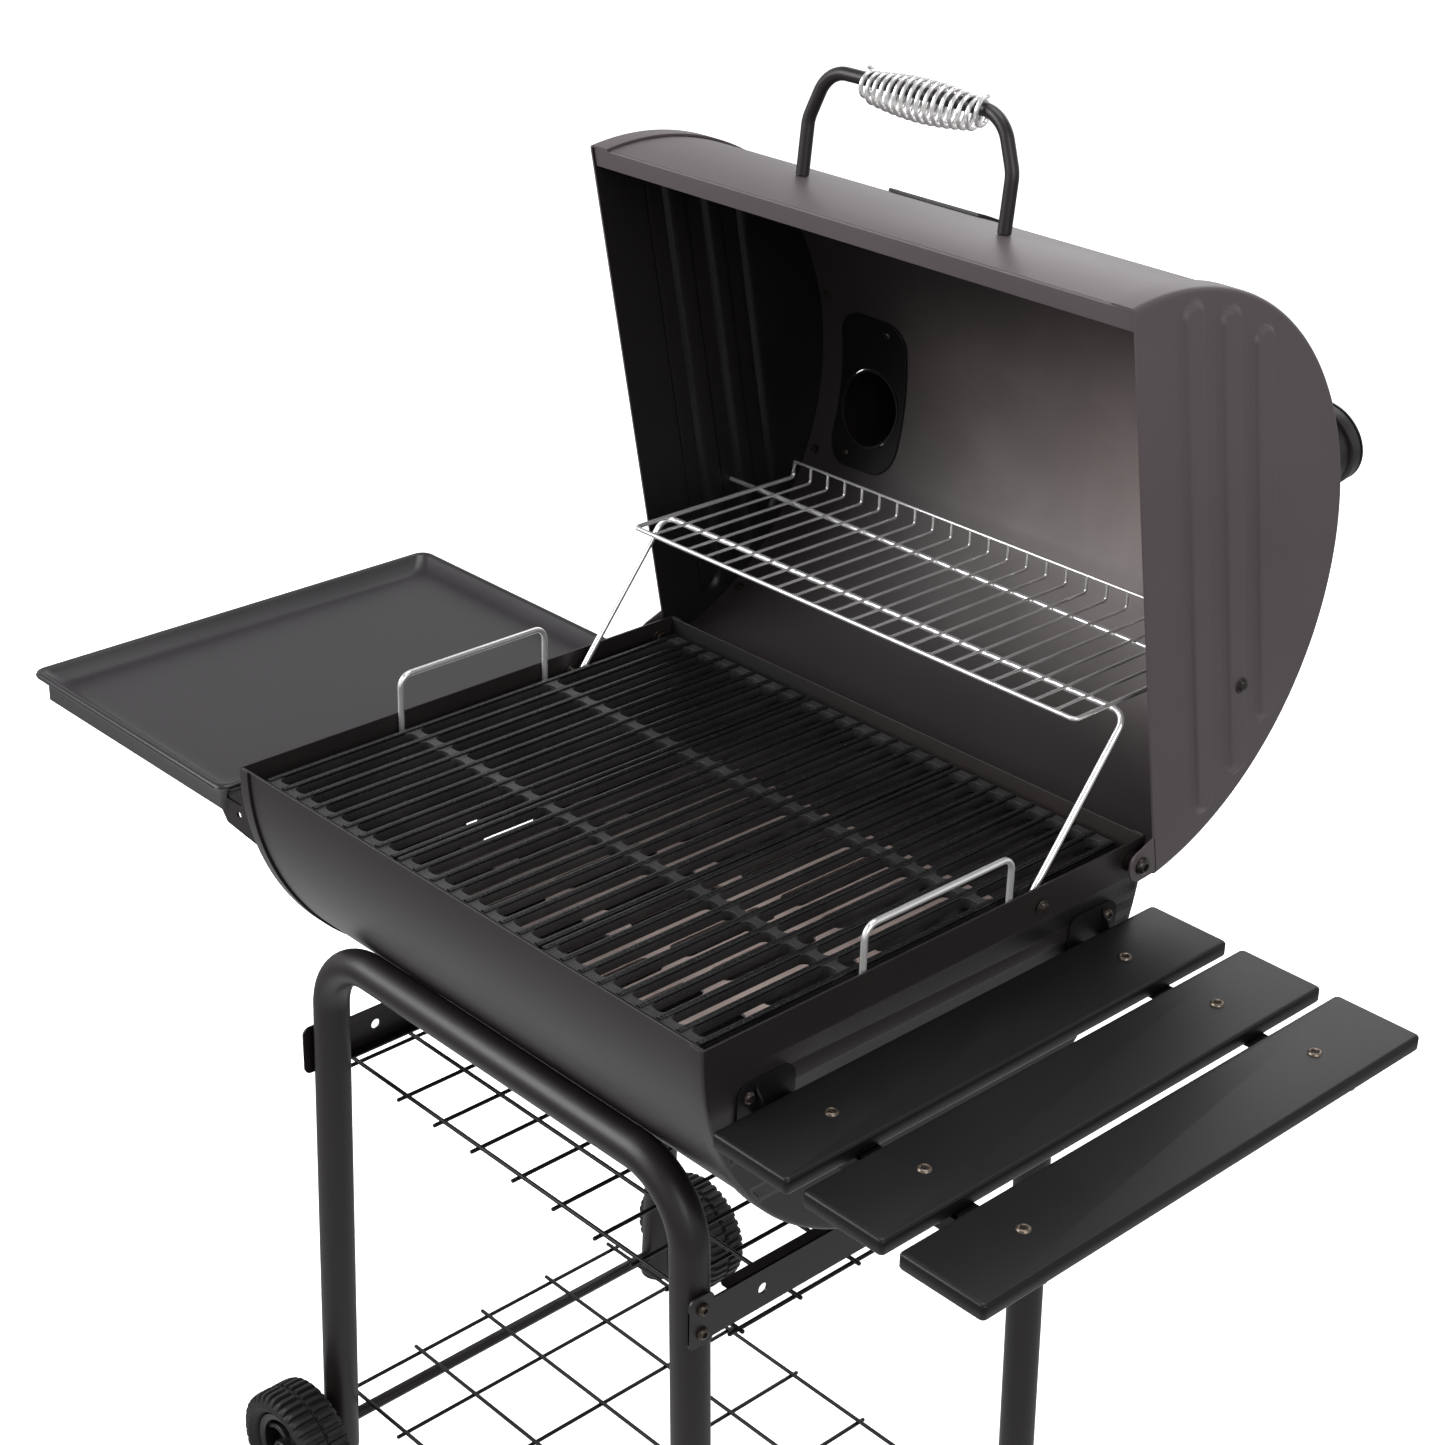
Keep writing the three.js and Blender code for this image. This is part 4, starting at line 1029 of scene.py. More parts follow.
    def grate_bars(self, middle: float) -> Skin:
        """Crowned bars on top of the frame, each a low arch carried from front to rear.

        Args:
            middle: place of the grate's middle along X.

        Returns:
            The surface.
        """
        reach = (self.grate_width - self.bar_width) / 2
        base = self.grate_top - 3.2
        half = self.bar_width / 2
        crown = [(half, 1.9), (half * 0.8, 2.7), (half * 0.4, 3.15)]
        arch = np.array([(-half, 0), (half, 0), *crown, (0, 3.2), *[(-x, z) for x, z in crown[::-1]]])
        arch[:, 1] += base
        ends = (self.rails[0] - self.rail_width / 2 + 0.6, self.rails[-1] + self.rail_width / 2 - 0.6)
        bars = [prism(arch + np.array([x, 0]), ends, Axis.Y)
                for x in np.linspace(middle - reach, middle + reach, self.bars)]
        return together(*bars)

    def cooking_grates(self) -> None:
        """Three cast grates: frame with slots, and crowned bars."""
        bodies = (Body.GRATE_LEFT, Body.GRATE_MIDDLE, Body.GRATE_RIGHT)
        for place, body in zip((-1, 0, 1), bodies):
            middle = place * self.pitch
            make = Make(body, Slot.CAST, (CAST_RAIL,), (body.value,), edge=0.9)
            piece(f"{body.value}_frame", self.grate_body(middle), make)
            make = Make(body, Slot.CAST, (CAST,), edge=0.35)
            piece(f"{body.value}_bars", self.grate_bars(middle), make)

    def fire_grate(self) -> None:
        """Charcoal plate with rows of long slots, and its two lifting loops."""
        reach, width, half = self.plate_reach, self.plate_width, self.slot_half
        columns = np.linspace(-reach + 35, reach - 35, self.slot_columns)
        slots = [rounded_loop((x - half, x + half), row, 7.5, 5) for x in columns for row in self.slot_rows]
        skin = plate(rounded_loop((-reach, reach), (-width, width), 9), slots, self.plate_faces, Axis.Z)
        make = Make(Body.FIRE_GRATE, Slot.BLACK, (FIRE_PLATE,), ("fire_grate",), edge=0.6)
        piece("charcoal_plate", skin, make)
        near, far = self.loop_y
        low, high = self.loop_z
        for side, name in ((-1, "left"), (1, "right")):
            corners = [(side * self.loop_x, y, z)
                       for y, z in ((near, low), (near, high), (far, high), (far, low))]
            loop = wire(softened(corners, 12, 12), self.loop_wire, (1, 0, 0), 16)
            make = Make(Body.FIRE_GRATE, Slot.CHROME, (CHROME,), (f"fire_handle_{name}",))
            piece(f"lifting_loop_{name}", loop, make)

    def damper(self) -> None:
        """Fan-shaped shutter with its bent tab, and the bolt it turns on."""
        outer = -self.half_length - self.damper_gap
        y, z = self.damper_pivot
        fan = np.concatenate([arc((y, z), 125, -128, -10, 40), arc((y, z), 16, 54, 168, 12)])
        holes = [circle(4.5, 16) + np.array([y, z]), *[softened_loop(v, 2.5) for v in self.vents]]
        skin = plate(fan, holes, (outer - 2, outer), Axis.X)
        tab = plate(rounded_loop((outer - 18, outer - 1), (70, 92), 4), [], (-132, -130), Axis.Z)
        make = Make(Body.DAMPER, Slot.CHARCOAL, (BODY_PAINT,), ("side_damper",), edge=0.5)
        piece("damper_shutter", together(skin, tab), make)
        head = BOLTS.domed(8, 5, (outer - 2.3, y, z), Axis.X, -1)
        nut = BOLTS.hexed(6.2, 4, (-self.half_length + self.sheet + 0.3, y, z), Axis.X)
        make = Make(Body.ROOT, Slot.BOLT, (DARK_STEEL,), ("damper_pin",))
        piece("damper_bolt", together(head, nut), make)


def softened_loop(corners: Sequence[Sequence[float]], radius: float) -> Array:
    """A closed loop with each corner rounded.

    Args:
        corners: the loop's corners.
        radius: corner radius.

    Returns:
        The points of the loop.
    """
    ring = np.array(corners, float)
    start = (ring[0] + ring[-1]) / 2
    return softened([start, *ring, start], radius, 4)[:-1]


def evened(loop: Array, count: int) -> Array:
    """A closed loop with its points spread evenly along it.

    Args:
        loop: the loop's points.
        count: how many points to return.

    Returns:
        Points at equal lengths, from running lengths and straight blends between points.
    """
    ring = np.concatenate([loop, loop[:1]])
    run = np.concatenate([[0.0], np.cumsum(np.linalg.norm(np.diff(ring, axis=0), axis=1))])
    places = np.linspace(0, run[-1], count, endpoint=False)
    return np.stack([np.interp(places, run, ring[:, 0]), np.interp(places, run, ring[:, 1])], axis=1)


@dataclass
class Lid:
    """Half-drum lid, drawn closed and swung open about its hinge."""

    hinge: tuple[float, float] = (240.0, -18.0)
    open_angle: float = math.radians(79)
    centre: tuple[float, float] = (-7.0, -4.0)
    radius: float = 268.0
    half_length: float = 316.5
    flange: float = 23.0
    sheet: float = 2.0
    shell_radius: float = 265.4
    shell_reach: float = 314.2
    front_edge: float = 2.0
    rear_edge: float = 8.0
    lip: float = 18.0
    ribs: tuple[tuple[float, float, float], ...] = ((68, -250, 227), (114, -228, 211), (156, -194, 177))
    handle_angle: float = math.radians(17)
    handle_span: float = 118.0
    handle_height: float = 95.0
    stacks: tuple[tuple[str, float], ...] = (("left", -240.0), ("right", 170.0))
    stack_y: float = 78.0
    stack_radius: float = 37.5
    stack_top: float = 440.0
    swivel_reach: float = 47.0
    patch: float = 54.0

    def build(self) -> None:
        """Make every piece of the lid."""
        self.shell()
        self.caps()
        self.badge()
        self.handle()
        self.flues()
        self.seam_bolts()

    def opened(self, skin: Skin) -> Skin:
        """The surface swung open with the lid."""
        return skin.swung(self.hinge, -self.open_angle)

    def lifted(self, plan: Array, radius: float) -> Array:
        """Points of a plan raised to the lid: Z is the centre plus the root of radius² - (Y - centre)²."""
        rise = self.centre[1] + np.sqrt(radius**2 - (plan[..., 1] - self.centre[0]) ** 2)
        return np.concatenate([plan, rise[..., None]], axis=-1)

    def side_curve(self) -> tuple[Array, tuple[int, int]]:
        """Side section of the lid sheet, from the rear edge over the crown to the lip.

        Returns:
            The section in Y and Z, and the rows that bound the flue holes.
        """
        y, z = self.centre
        rear = math.degrees(math.asin((self.rear_edge - z) / self.shell_radius))
        front = 180 - math.degrees(math.asin((self.front_edge + 2.6 - z) / self.shell_radius))
        low, high = (math.degrees(math.acos((self.stack_y + way * self.patch - y) / self.shell_radius))
                     for way in (1, -1))
        angles = np.concatenate([np.linspace(rear, low, 17)[:-1], np.linspace(low, high, 15)[:-1],
                                 np.linspace(high, front, 53)])
        turn = np.radians(angles)
        curve = self.centre + self.shell_radius * np.stack([np.cos(turn), np.sin(turn)], 1)
        edge = curve[-1]
        corners = [edge, (edge[0] - 0.1, self.front_edge), (edge[0] + self.lip, self.front_edge)]
        return np.concatenate([curve, softened(corners, 1.8, 5)[1:]]), (16, 30)

    def shell(self) -> None:
        """Rolled sheet with two flue holes and a return lip.

        A net of straight lines along X and of the side section, in which a square of cells
        round each flue gives way to rings that pass from the square to the hole's circle.
        """
        curve, (first, last) = self.side_curve()
        cells = 14
        lines, marks = [-self.shell_reach], []
        for _, x in self.stacks:
            lines += list(np.linspace(lines[-1], x - self.patch, 5)[1:-1]) + list(
                np.linspace(x - self.patch, x + self.patch, cells + 1))
            marks.append(len(lines) - cells - 1)
        lines += list(np.linspace(lines[-1], self.shell_reach, 5)[1:])
        rows, columns = len(curve), len(lines)
        grid = np.zeros((rows, columns, 3))
        grid[..., 0], grid[..., 1], grid[..., 2] = np.array(lines)[None], curve[:, :1], curve[:, 1:]
        keep = np.ones((rows - 1, columns - 1), bool)
        for mark in marks:
            keep[first:last, mark:mark + cells] = False
        points, faces = [grid.reshape(-1, 3)], [net(rows, columns)[keep.ravel()]]
        total = rows * columns
        shares = np.array([0.0, 0.12, 0.35, 0.65])
        for mark, (_, x) in zip(marks, self.stacks):
            ring = self.square_ring(first, last, mark, cells, columns)
            plan = grid.reshape(-1, 3)[ring][:, :2]
            away = plan - np.array([x, self.stack_y])
            hole = away / np.linalg.norm(away, axis=1, keepdims=True) * (self.stack_radius + 0.8)
            mixed = np.array([x, self.stack_y]) + hole + shares[:, None, None] * (away - hole)
            points.append(self.lifted(mixed, self.shell_radius).reshape(-1, 3))
            size = len(ring)
            numbers = np.concatenate([total + np.arange(len(shares) * size).reshape(-1, size), ring[None]])
            faces.append(numbers.ravel()[net(len(shares) + 1, size, wrap=True)])
            total += len(shares) * size
        skin = self.opened(Skin(np.concatenate(points), faces))
        make = Make(Body.LID, Slot.CHARCOAL, (CHARCOAL, LID_INSIDE), ("lid_shell",), self.sheet, 0.45)
        piece("lid_sheet", skin, make)

    def square_ring(self, first: int, last: int, mark: int, cells: int, columns: int) -> Array:
        """Numbers of the points round a square of cells, in order.

        Args:
            first: the square's first row.
            last: its last row.
            mark: its first column.
            cells: cells along each row of it.
            columns: points in a row of the whole net.

        Returns:
            The numbers.
        """
        down, across = np.arange(first, last), np.arange(mark, mark + cells)
        return np.concatenate([first * columns + across, down * columns + mark + cells,
                               last * columns + across[::-1] + 1, down[::-1] * columns + columns + mark])

    def rib_rise(self, y: Array, z: Array) -> Array:
        """Height of the pressed ribs: each falls from 4 to 0 over 4.5 beyond its round-ended track.

        Args:
            y: places along Y.
            z: places along Z.

        Returns:
            How far the wall stands out at each place.
        """
        rise = np.zeros_like(y)
        for middle, rear, front in self.ribs:
            beyond = np.hypot(y - np.clip(y, rear + 10, front - 10), z - middle) - 10
            share = np.clip(1 - beyond / 4.5, 0, 1)
            rise = np.maximum(rise, 4 * share * share * (3 - 2 * share))
        return rise

    def cap_skin(self) -> Skin:
        """Right cap: rows across the half disc at rising heights, then a rim bent over the sheet.

        A row at angle a above the level has its height at the radius times sine of a, and runs
        between the two sides of the circle; the bend and the flange go on from the rows' ends.

        Returns:
            The surface, which gets its thickness inwards.
        """
        y0, z0 = self.centre
        bend = 4.0
        inner = self.radius - bend
        low = math.asin(-z0 / inner)
        steps = np.array([-14.5, -13, -11.5, -10, -5, 0, 5, 10, 11.5, 13, 14.5])
        heights = np.concatenate([z + steps for z, _, _ in self.ribs])
        extra = np.arcsin((heights - z0) / inner)
        angles = np.unique(np.concatenate([np.linspace(low, math.pi / 2, 70), extra]))
        across = np.linspace(-1, 1, 181)
        z = z0 + inner * np.sin(angles)[:, None] * np.ones_like(across)
        y = y0 + inner * np.cos(angles)[:, None] * across[None]
        x = self.half_length + self.rib_rise(y, z)
        rows, columns = x.shape
        wall = Skin(np.stack([x, y, z], axis=-1).reshape(-1, 3), [net(rows, columns)])
        rim_angles = np.concatenate([math.pi - angles, angles[::-1][1:]])
        turn = arc((inner, self.half_length - bend), bend, 90, 0, 5)
        profile = np.concatenate([turn, [(self.radius, self.half_length - self.flange)]])
        radius = profile[:, :1]
        rim = np.stack([np.broadcast_to(profile[:, 1:], (len(profile), len(rim_angles))),
                        y0 + radius * np.cos(rim_angles), z0 + radius * np.sin(rim_angles)], axis=-1)
        return together(wall, Skin(rim.reshape(-1, 3), [net(*rim.shape[:2])]))

    def caps(self) -> None:
        """Both caps with their pressed ribs, and the hinge ears below them."""
        y = self.hinge[0]
        ear_loop = np.concatenate([[(y - 18, 1.0)], arc(self.hinge, 15, 180, 342, 24), [(y + 17, 1.0)]])
        hole = circle(4.6, 20) + np.array(self.hinge)
        ear = plate(ear_loop, [hole], (self.half_length - self.sheet, self.half_length), Axis.X)
        for side, name in ((-1, "left"), (1, "right")):
            skin = self.opened(self.cap_skin() if side > 0 else self.cap_skin().mirrored())
            coats = (CHARCOAL, CAP_INSIDE)
            make = Make(Body.LID, Slot.CHARCOAL, coats, (f"lid_cap_{name}",), self.sheet, 0.45, 50)
            piece(f"lid_end_{name}", skin, make)
            skin = self.opened(ear if side > 0 else ear.mirrored())
            piece(f"hinge_ear_{name}", skin, Make(Body.LID, Slot.CHARCOAL, (CHARCOAL,), edge=0.5))

    def badge(self) -> None:
        """Blank plate with clipped corners and a rolled border, curved with the sheet."""
        loop = rounded_loop((-65, 45), (28.5, 37.5), 2.4, 5)
        mids = np.array([-10, 33.0])
        share = np.array([1.0, 1.0, 0.995, 0.985, 0.955, 0.945, 0.5])[:, None, None]
        height = np.array([0.0, 2.0, 2.8, 3.0, 3.0, 2.3, 2.3])[:, None]
        plan = mids + share * (loop - mids)
        angles = np.radians(180 - plan[..., 1])
        radius = self.shell_radius + 0.3 + height
        y, z = self.centre
        loops = np.stack([plan[..., 0], y + radius * np.cos(angles), z + radius * np.sin(angles)], axis=-1)
        skin = self.opened(lofted(loops))
        piece("badge", skin, Make(Body.LID, Slot.BLACK, (BLACK,), ("badge_plate",), edge=0.2))

    def at_handle(self, x: float, height: float) -> tuple[float, float, float]:
        """Point at a height above the sheet in the handle's plane.

        Args:
            x: place along X.
            height: distance from the sheet.

        Returns:
            The point.
        """
        reach = self.shell_radius + height
        return (x, self.centre[0] - reach * math.cos(self.handle_angle),
                self.centre[1] + reach * math.sin(self.handle_angle))

    def handle(self) -> None:
        """Bent rod, wound spring grip, and the two bolts that hold the rod."""
        span, top = self.handle_span, self.handle_height
        corners = [(-span, 0.6), (-span, 50), (-100, top), (100, top), (span, 50), (span, 0.6)]
        normal = (0, math.sin(self.handle_angle), math.cos(self.handle_angle))
        rod = wire(softened([self.at_handle(*c) for c in corners], 32, 14), 6.0, normal, 24)
        make = Make(Body.LID, Slot.BLACK, (TUBE_PAINT,), ("handle_rod",), edge=0.6)
        piece("handle_bar", self.opened(rod), make)
        make = Make(Body.LID, Slot.CHROME, (CHROME,), ("handle_coil",))
        piece("spring_grip", self.opened(self.coil()), make)
        kinds = ((-1, "left", DARK_STEEL, Slot.BOLT), (1, "right", BRASSY, Slot.ZINC))
        stud = [(0, -4), (2.6, -4), (2.6, -19), (2.0, -20), (0, -20)]
        for side, name, coat, slot in kinds:
            bolt = BOLTS.hexed(6.5, 5.5, (side * span, 0, 0), Axis.Z, -1)
            shank = lathed(stud, 14, Axis.Z, (side * span, 0, 0))
            bolt = together(bolt, shank).swung((0, 0), math.pi / 2 - self.handle_angle)
            foot = self.at_handle(0, -2.4)
            skin = self.opened(bolt.moved(0, foot[1], foot[2]))
            piece(f"handle_stud_{name}", skin, Make(Body.LID, slot, (coat,), (f"handle_bolt_{name}",)))

    def coil(self) -> Skin:
        """Wound wire that swells in the middle.

        A point at share t along it turns 16 times about the grip's axis, at a radius of 11
        plus 6.5 times the sine of half a turn of t; both ends close onto the rod.

        Returns:
            The surface.
        """
        turns, start, end = 16, -59.0, 83.0
        t = np.linspace(0, 1, turns * 26 + 1)
        radius = 11.0 + 6.5 * np.sin(math.pi * t)
        drop = 5.4 * np.clip(np.minimum(t, 1 - t) * 14, 0, 1)
        angle = TURN * turns * t + math.pi / 2
        slant = 2.2 * np.cos(angle)
        up = radius * np.sin(angle) - drop
        level = radius * np.cos(angle)
        tilt = self.handle_angle
        base = self.at_handle(0, self.handle_height)
        x = start + 1.6 + (end - start - 3.2) * t + slant * 0.6
        y = base[1] - up * math.cos(tilt) - level * math.sin(tilt)
        z = base[2] + up * math.sin(tilt) - level * math.cos(tilt)
        return wire(np.stack([x, y, z], axis=1), 1.95, (1, 0, 0), 10)

    def flues(self) -> None:
        """Stacks with rolled rims, the saddle plates inside the lid, and the rain caps."""
        for name, x in self.stacks:
            inward = -math.copysign(1, x)
            self.flue(name, x, inward)
            self.saddle(name, x)
            self.rain_cap(name, x, inward)

    def flue(self, name: str, x: float, inward: float) -> None:
        """One stack: a round tube whose foot follows the lid, and a rim ring at its top.

        Args:
            name: side name.
            x: where it stands.
            inward: sign of the way to the middle.
        """
        ring = circle(1.0, 48)
        outer, inner, top = self.stack_radius, self.stack_radius - 2, self.stack_top
        middle = np.array([x, self.stack_y])
        foot = self.lifted(middle + outer * ring, self.shell_radius - 4.6)[:, 2]
        inner_foot = self.lifted(middle + inner * ring, self.shell_radius - 4.6)[:, 2]
        radii = [outer, outer, outer, 40.6, 41.5, 41.5, 40.8, 39.5, inner + 0.8, inner, inner, inner]
        heights = [foot, foot + 20, top - 13.5, top - 13, top - 12, top - 1.6, top - 0.4, top, top,
                   top - 0.8, foot + 20, inner_foot]
        loops = [np.column_stack([middle + r * ring, np.broadcast_to(h, len(ring))])
                 for r, h in zip(radii, heights)]
        loops.append(loops[0])
        tube = lofted(np.stack(loops), capped=False)
        pivot = (x + inward * self.swivel_reach, self.stack_y)
        lug_loop = rounded_loop((pivot[0] - 7, pivot[0] + 7), (pivot[1] - 6, pivot[1] + 6), 3)
        lug = prism(lug_loop, (top - 20, top), Axis.Z)
        rivet = BOLTS.domed(5, 2.0, (*pivot, top + 3.3), Axis.Z)
        skin = self.opened(together(tube, lug, rivet))
        make = Make(Body.LID, Slot.BLACK, (TUBE_PAINT,), (f"stack_{name}",), crease=40)
        piece(f"flue_{name}", skin, make)

    def saddle(self, name: str, x: float) -> None:
        """One saddle plate: rings from the flue's hole to a plan with round ends, laid on the lid.

        Args:
            name: side name.
            x: where its stack stands.
        """
        loop = evened(rounded_loop((x - 44, x + 44), (-16, 136), 26, 9), 120)
        away = loop - np.array([x, self.stack_y])
        hole = away / np.linalg.norm(away, axis=1, keepdims=True) * 38.3
        share = np.linspace(0, 1, 9)[:, None, None]
        plan = np.array([x, self.stack_y]) + hole + share * (away - hole)
        points = self.lifted(plan, self.shell_radius - 2.6)
        sheet = Skin(points.reshape(-1, 3), [net(9, len(loop), wrap=True)])
        make = Make(Body.LID, Slot.BLACK, (BLACK,), (f"stack_plate_{name}",), 2.0, 0.5)
        piece(f"saddle_{name}", self.opened(sheet), make)
        spots = self.lifted(np.array([(x + 20, -2.0), (x - 20, 124.0)]), self.shell_radius - 4.4)
        heads = [BOLTS.domed(4.6, 2.6, (0, 0, 0), Axis.Z, -1).swung((0, 0), a).moved(*p)
                 for p, a in zip(spots, (-0.02, -0.5))]
        make = Make(Body.LID, Slot.BOLT, (DARK_STEEL,))
        piece(f"saddle_bolts_{name}", self.opened(together(*heads)), make)

    def rain_cap(self, name: str, x: float, inward: float) -> None:
        """One rain cap: a shallow dish with an ear for its rivet.

        Args:
            name: side name.
            x: where its stack stands.
            inward: sign of the way to the middle.
        """
        low, high = self.stack_top + 0.4, self.stack_top + 3
        profile = [(0, high - 0.9), (26, high - 0.9), (29, high), (39, high), (41.4, high - 0.5),
                   (42, high - 1.3), (41.4, low + 0.2), (40, low), (0, low)]
        disc = lathed(profile, 56, Axis.Z, (x, self.stack_y, 0))
        ends = sorted((x + inward * 36, x + inward * 55))
        hole = circle(3, 16) + np.array([x + inward * self.swivel_reach, self.stack_y])
        ear_loop = rounded_loop(ends, (self.stack_y - 8, self.stack_y + 8), 7.5)
        ear = plate(ear_loop, [hole], (low + 0.1, high - 0.2), Axis.Z)
        body = Body.CAP_LEFT if name == "left" else Body.CAP_RIGHT
        make = Make(body, Slot.BLACK, (TUBE_PAINT,), (f"stack_cap_{name}",), crease=50, edge=0.3)
        piece(f"rain_cap_{name}", self.opened(together(disc, ear)), make)

    def seam_bolts(self) -> None:
        """Small nuts inside the lid along both seams, where the caps' flanges are held."""
        heads = []
        for side in (-1, 1):
            for degrees in (22, 58, 94, 130, 158):
                angle = math.radians(degrees)
                y = self.centre[0] + 263.2 * math.cos(angle)
                z = self.centre[1] + 263.2 * math.sin(angle)
                nut = BOLTS.hexed(4.2, 3.2, (0, 0, 0), Axis.Z, -1).swung((0, 0), angle - math.pi / 2)
                heads.append(nut.moved(side * 302.0, y, z))
        piece("seam_nuts", self.opened(together(*heads)), Make(Body.LID, Slot.BOLT, (DARK_STEEL,)))


@dataclass
class Rack:
    """Swing-away wire rack, the bail that carries its front, and the hinge hardware."""

    half_length: float = 276.0
    wires: int = 24
    front: float = 183.0
    rear: float = 396.0
    level: float = 123.7
    upstand: float = 140.5
    pivot: tuple[float, float] = (349.6, 120.5)
    bail_pivot: tuple[float, float] = (124.0, -20.0)
    bail_top: tuple[float, float] = (233.6, 118.5)
    bail_x: float = 290.0
    hinge: tuple[float, float] = (240.0, -18.0)
    barrel_face: float = 304.5
    lid_face: float = 316.5

    def build(self) -> None:
        """Make every piece of the rack and its hinges."""
        self.rack()
        self.bail()
        self.nuts()
        self.hinges()

    def rack(self) -> None:
        """Frame wire round three sides, cross wires turned up at the rear, and their rails."""
        reach, z = self.half_length, self.level
        outer = [(-reach, self.rear, self.upstand - 2), (-reach, self.rear, z), (-reach, self.front, z),
                 (reach, self.front, z), (reach, self.rear, z), (reach, self.rear, self.upstand - 2)]
        parts = [wire(softened(outer, 5, 8), 2.2, (0.01, 0.02, 1.0), 12)]
        for x in np.linspace(-reach, reach, self.wires)[1:-1]:
            corners = [(x, self.front + 1.2, z + 0.4), (x, self.front + 5.5, z - 0.6),
                       (x, self.rear, z), (x, self.rear, self.upstand)]
            parts.append(wire(softened(corners, 4, 5), 1.5, (1, 0, 0), 8))
        rail = [(-reach, self.rear, self.upstand), (reach, self.rear, self.upstand)]
        parts.append(straight(*rail, 1.5, 10))
        y, height = self.pivot
        end = self.lid_face + 4.0
        parts.append(straight((-end, y, height), (end, y, height), 2.7, 14))
        make = Make(Body.RACK, Slot.CHROME, (CHROME,), ("warming_rack",), crease=50)
        piece("wire_rack", together(*parts), make)

    def bail(self) -> None:
        """One wire bent from foot to foot, over the front of the rack."""
        foot = self.barrel_face + 0.7
        half = [(foot, *self.bail_pivot), (self.bail_x, *self.bail_pivot), (self.bail_x, *self.bail_top)]
        right = np.concatenate([softened(half, 6, 8)[:-1],
                                softened([half[1], half[2], (0, *self.bail_top)], 14, 12)[1:-1]])
        path = np.concatenate([right, right[::-1] * np.array([-1, 1, 1])])
        side = (0, self.bail_top[1] - self.bail_pivot[1], self.bail_pivot[0] - self.bail_top[0])
        make = Make(Body.BAIL, Slot.CHROME, (CHROME,), ("rack_bail",), crease=50)
        piece("bail_wire", wire(path, 3.0, side, 16), make)

    def nuts(self) -> None:
        """Push nuts on the outer ends of the rack's rod and of the bail, and collars inside."""
        for side, name in ((-1, "left"), (1, "right")):
            cap = BOLTS.pressed(7, 4.5, (side * (self.lid_face + 4.3), *self.pivot), side)
            make = Make(Body.RACK, Slot.BOLT, (DARK_STEEL,), (f"rack_nut_{name}",))
            piece(f"rack_pin_{name}", cap, make)
            cap = BOLTS.pressed(7, 4.5, (side * (self.barrel_face + 1), *self.bail_pivot), side)
            collar = BOLTS.pressed(6, 3.4, (side * (self.barrel_face - 2.3), *self.bail_pivot), -side)
            make = Make(Body.BAIL, Slot.BOLT, (DARK_STEEL,), (f"bail_nut_{name}",))
            piece(f"bail_pin_{name}", together(cap, collar), make)

    def hinges(self) -> None:
        """Hinge bolts with their nuts, and the grooved spacers between barrel and lid."""
        for side, name in ((-1, "left"), (1, "right")):
            low, high = self.barrel_face + 0.3, self.lid_face - 2.3
            share = np.array([(4.6, 0), (9.2, 0), (10, 0.08), (10, 0.26), (8.4, 0.36), (8.4, 0.64),
                              (10, 0.74), (10, 0.92), (9.2, 1), (4.6, 1), (4.6, 0)])
            profile = np.column_stack([share[:, 0], side * (low + share[:, 1] * (high - low))])
            make = Make(Body.ROOT, Slot.BOLT, (DARK_STEEL,), (f"hinge_spacer_{name}",))
            piece(f"hinge_collar_{name}", lathed(profile, 28, Axis.X, (0, *self.hinge)), make)
            head = BOLTS.domed(8, 4.9, (side * (self.lid_face + 0.3), *self.hinge), Axis.X, side)
            ends = (side * (self.barrel_face - 3), side * (self.lid_face + 0.4))
            shank = straight((ends[0], *self.hinge), (ends[1], *self.hinge), 4.0, 16)
            nut = BOLTS.hexed(7, 4.8, (side * (self.barrel_face - 2.3), *self.hinge), Axis.X, -side)
            make = Make(Body.ROOT, Slot.BOLT, (DARK_STEEL,), (f"hinge_bolt_{name}",))
            piece(f"hinge_pin_{name}", together(head, shank, nut), make)


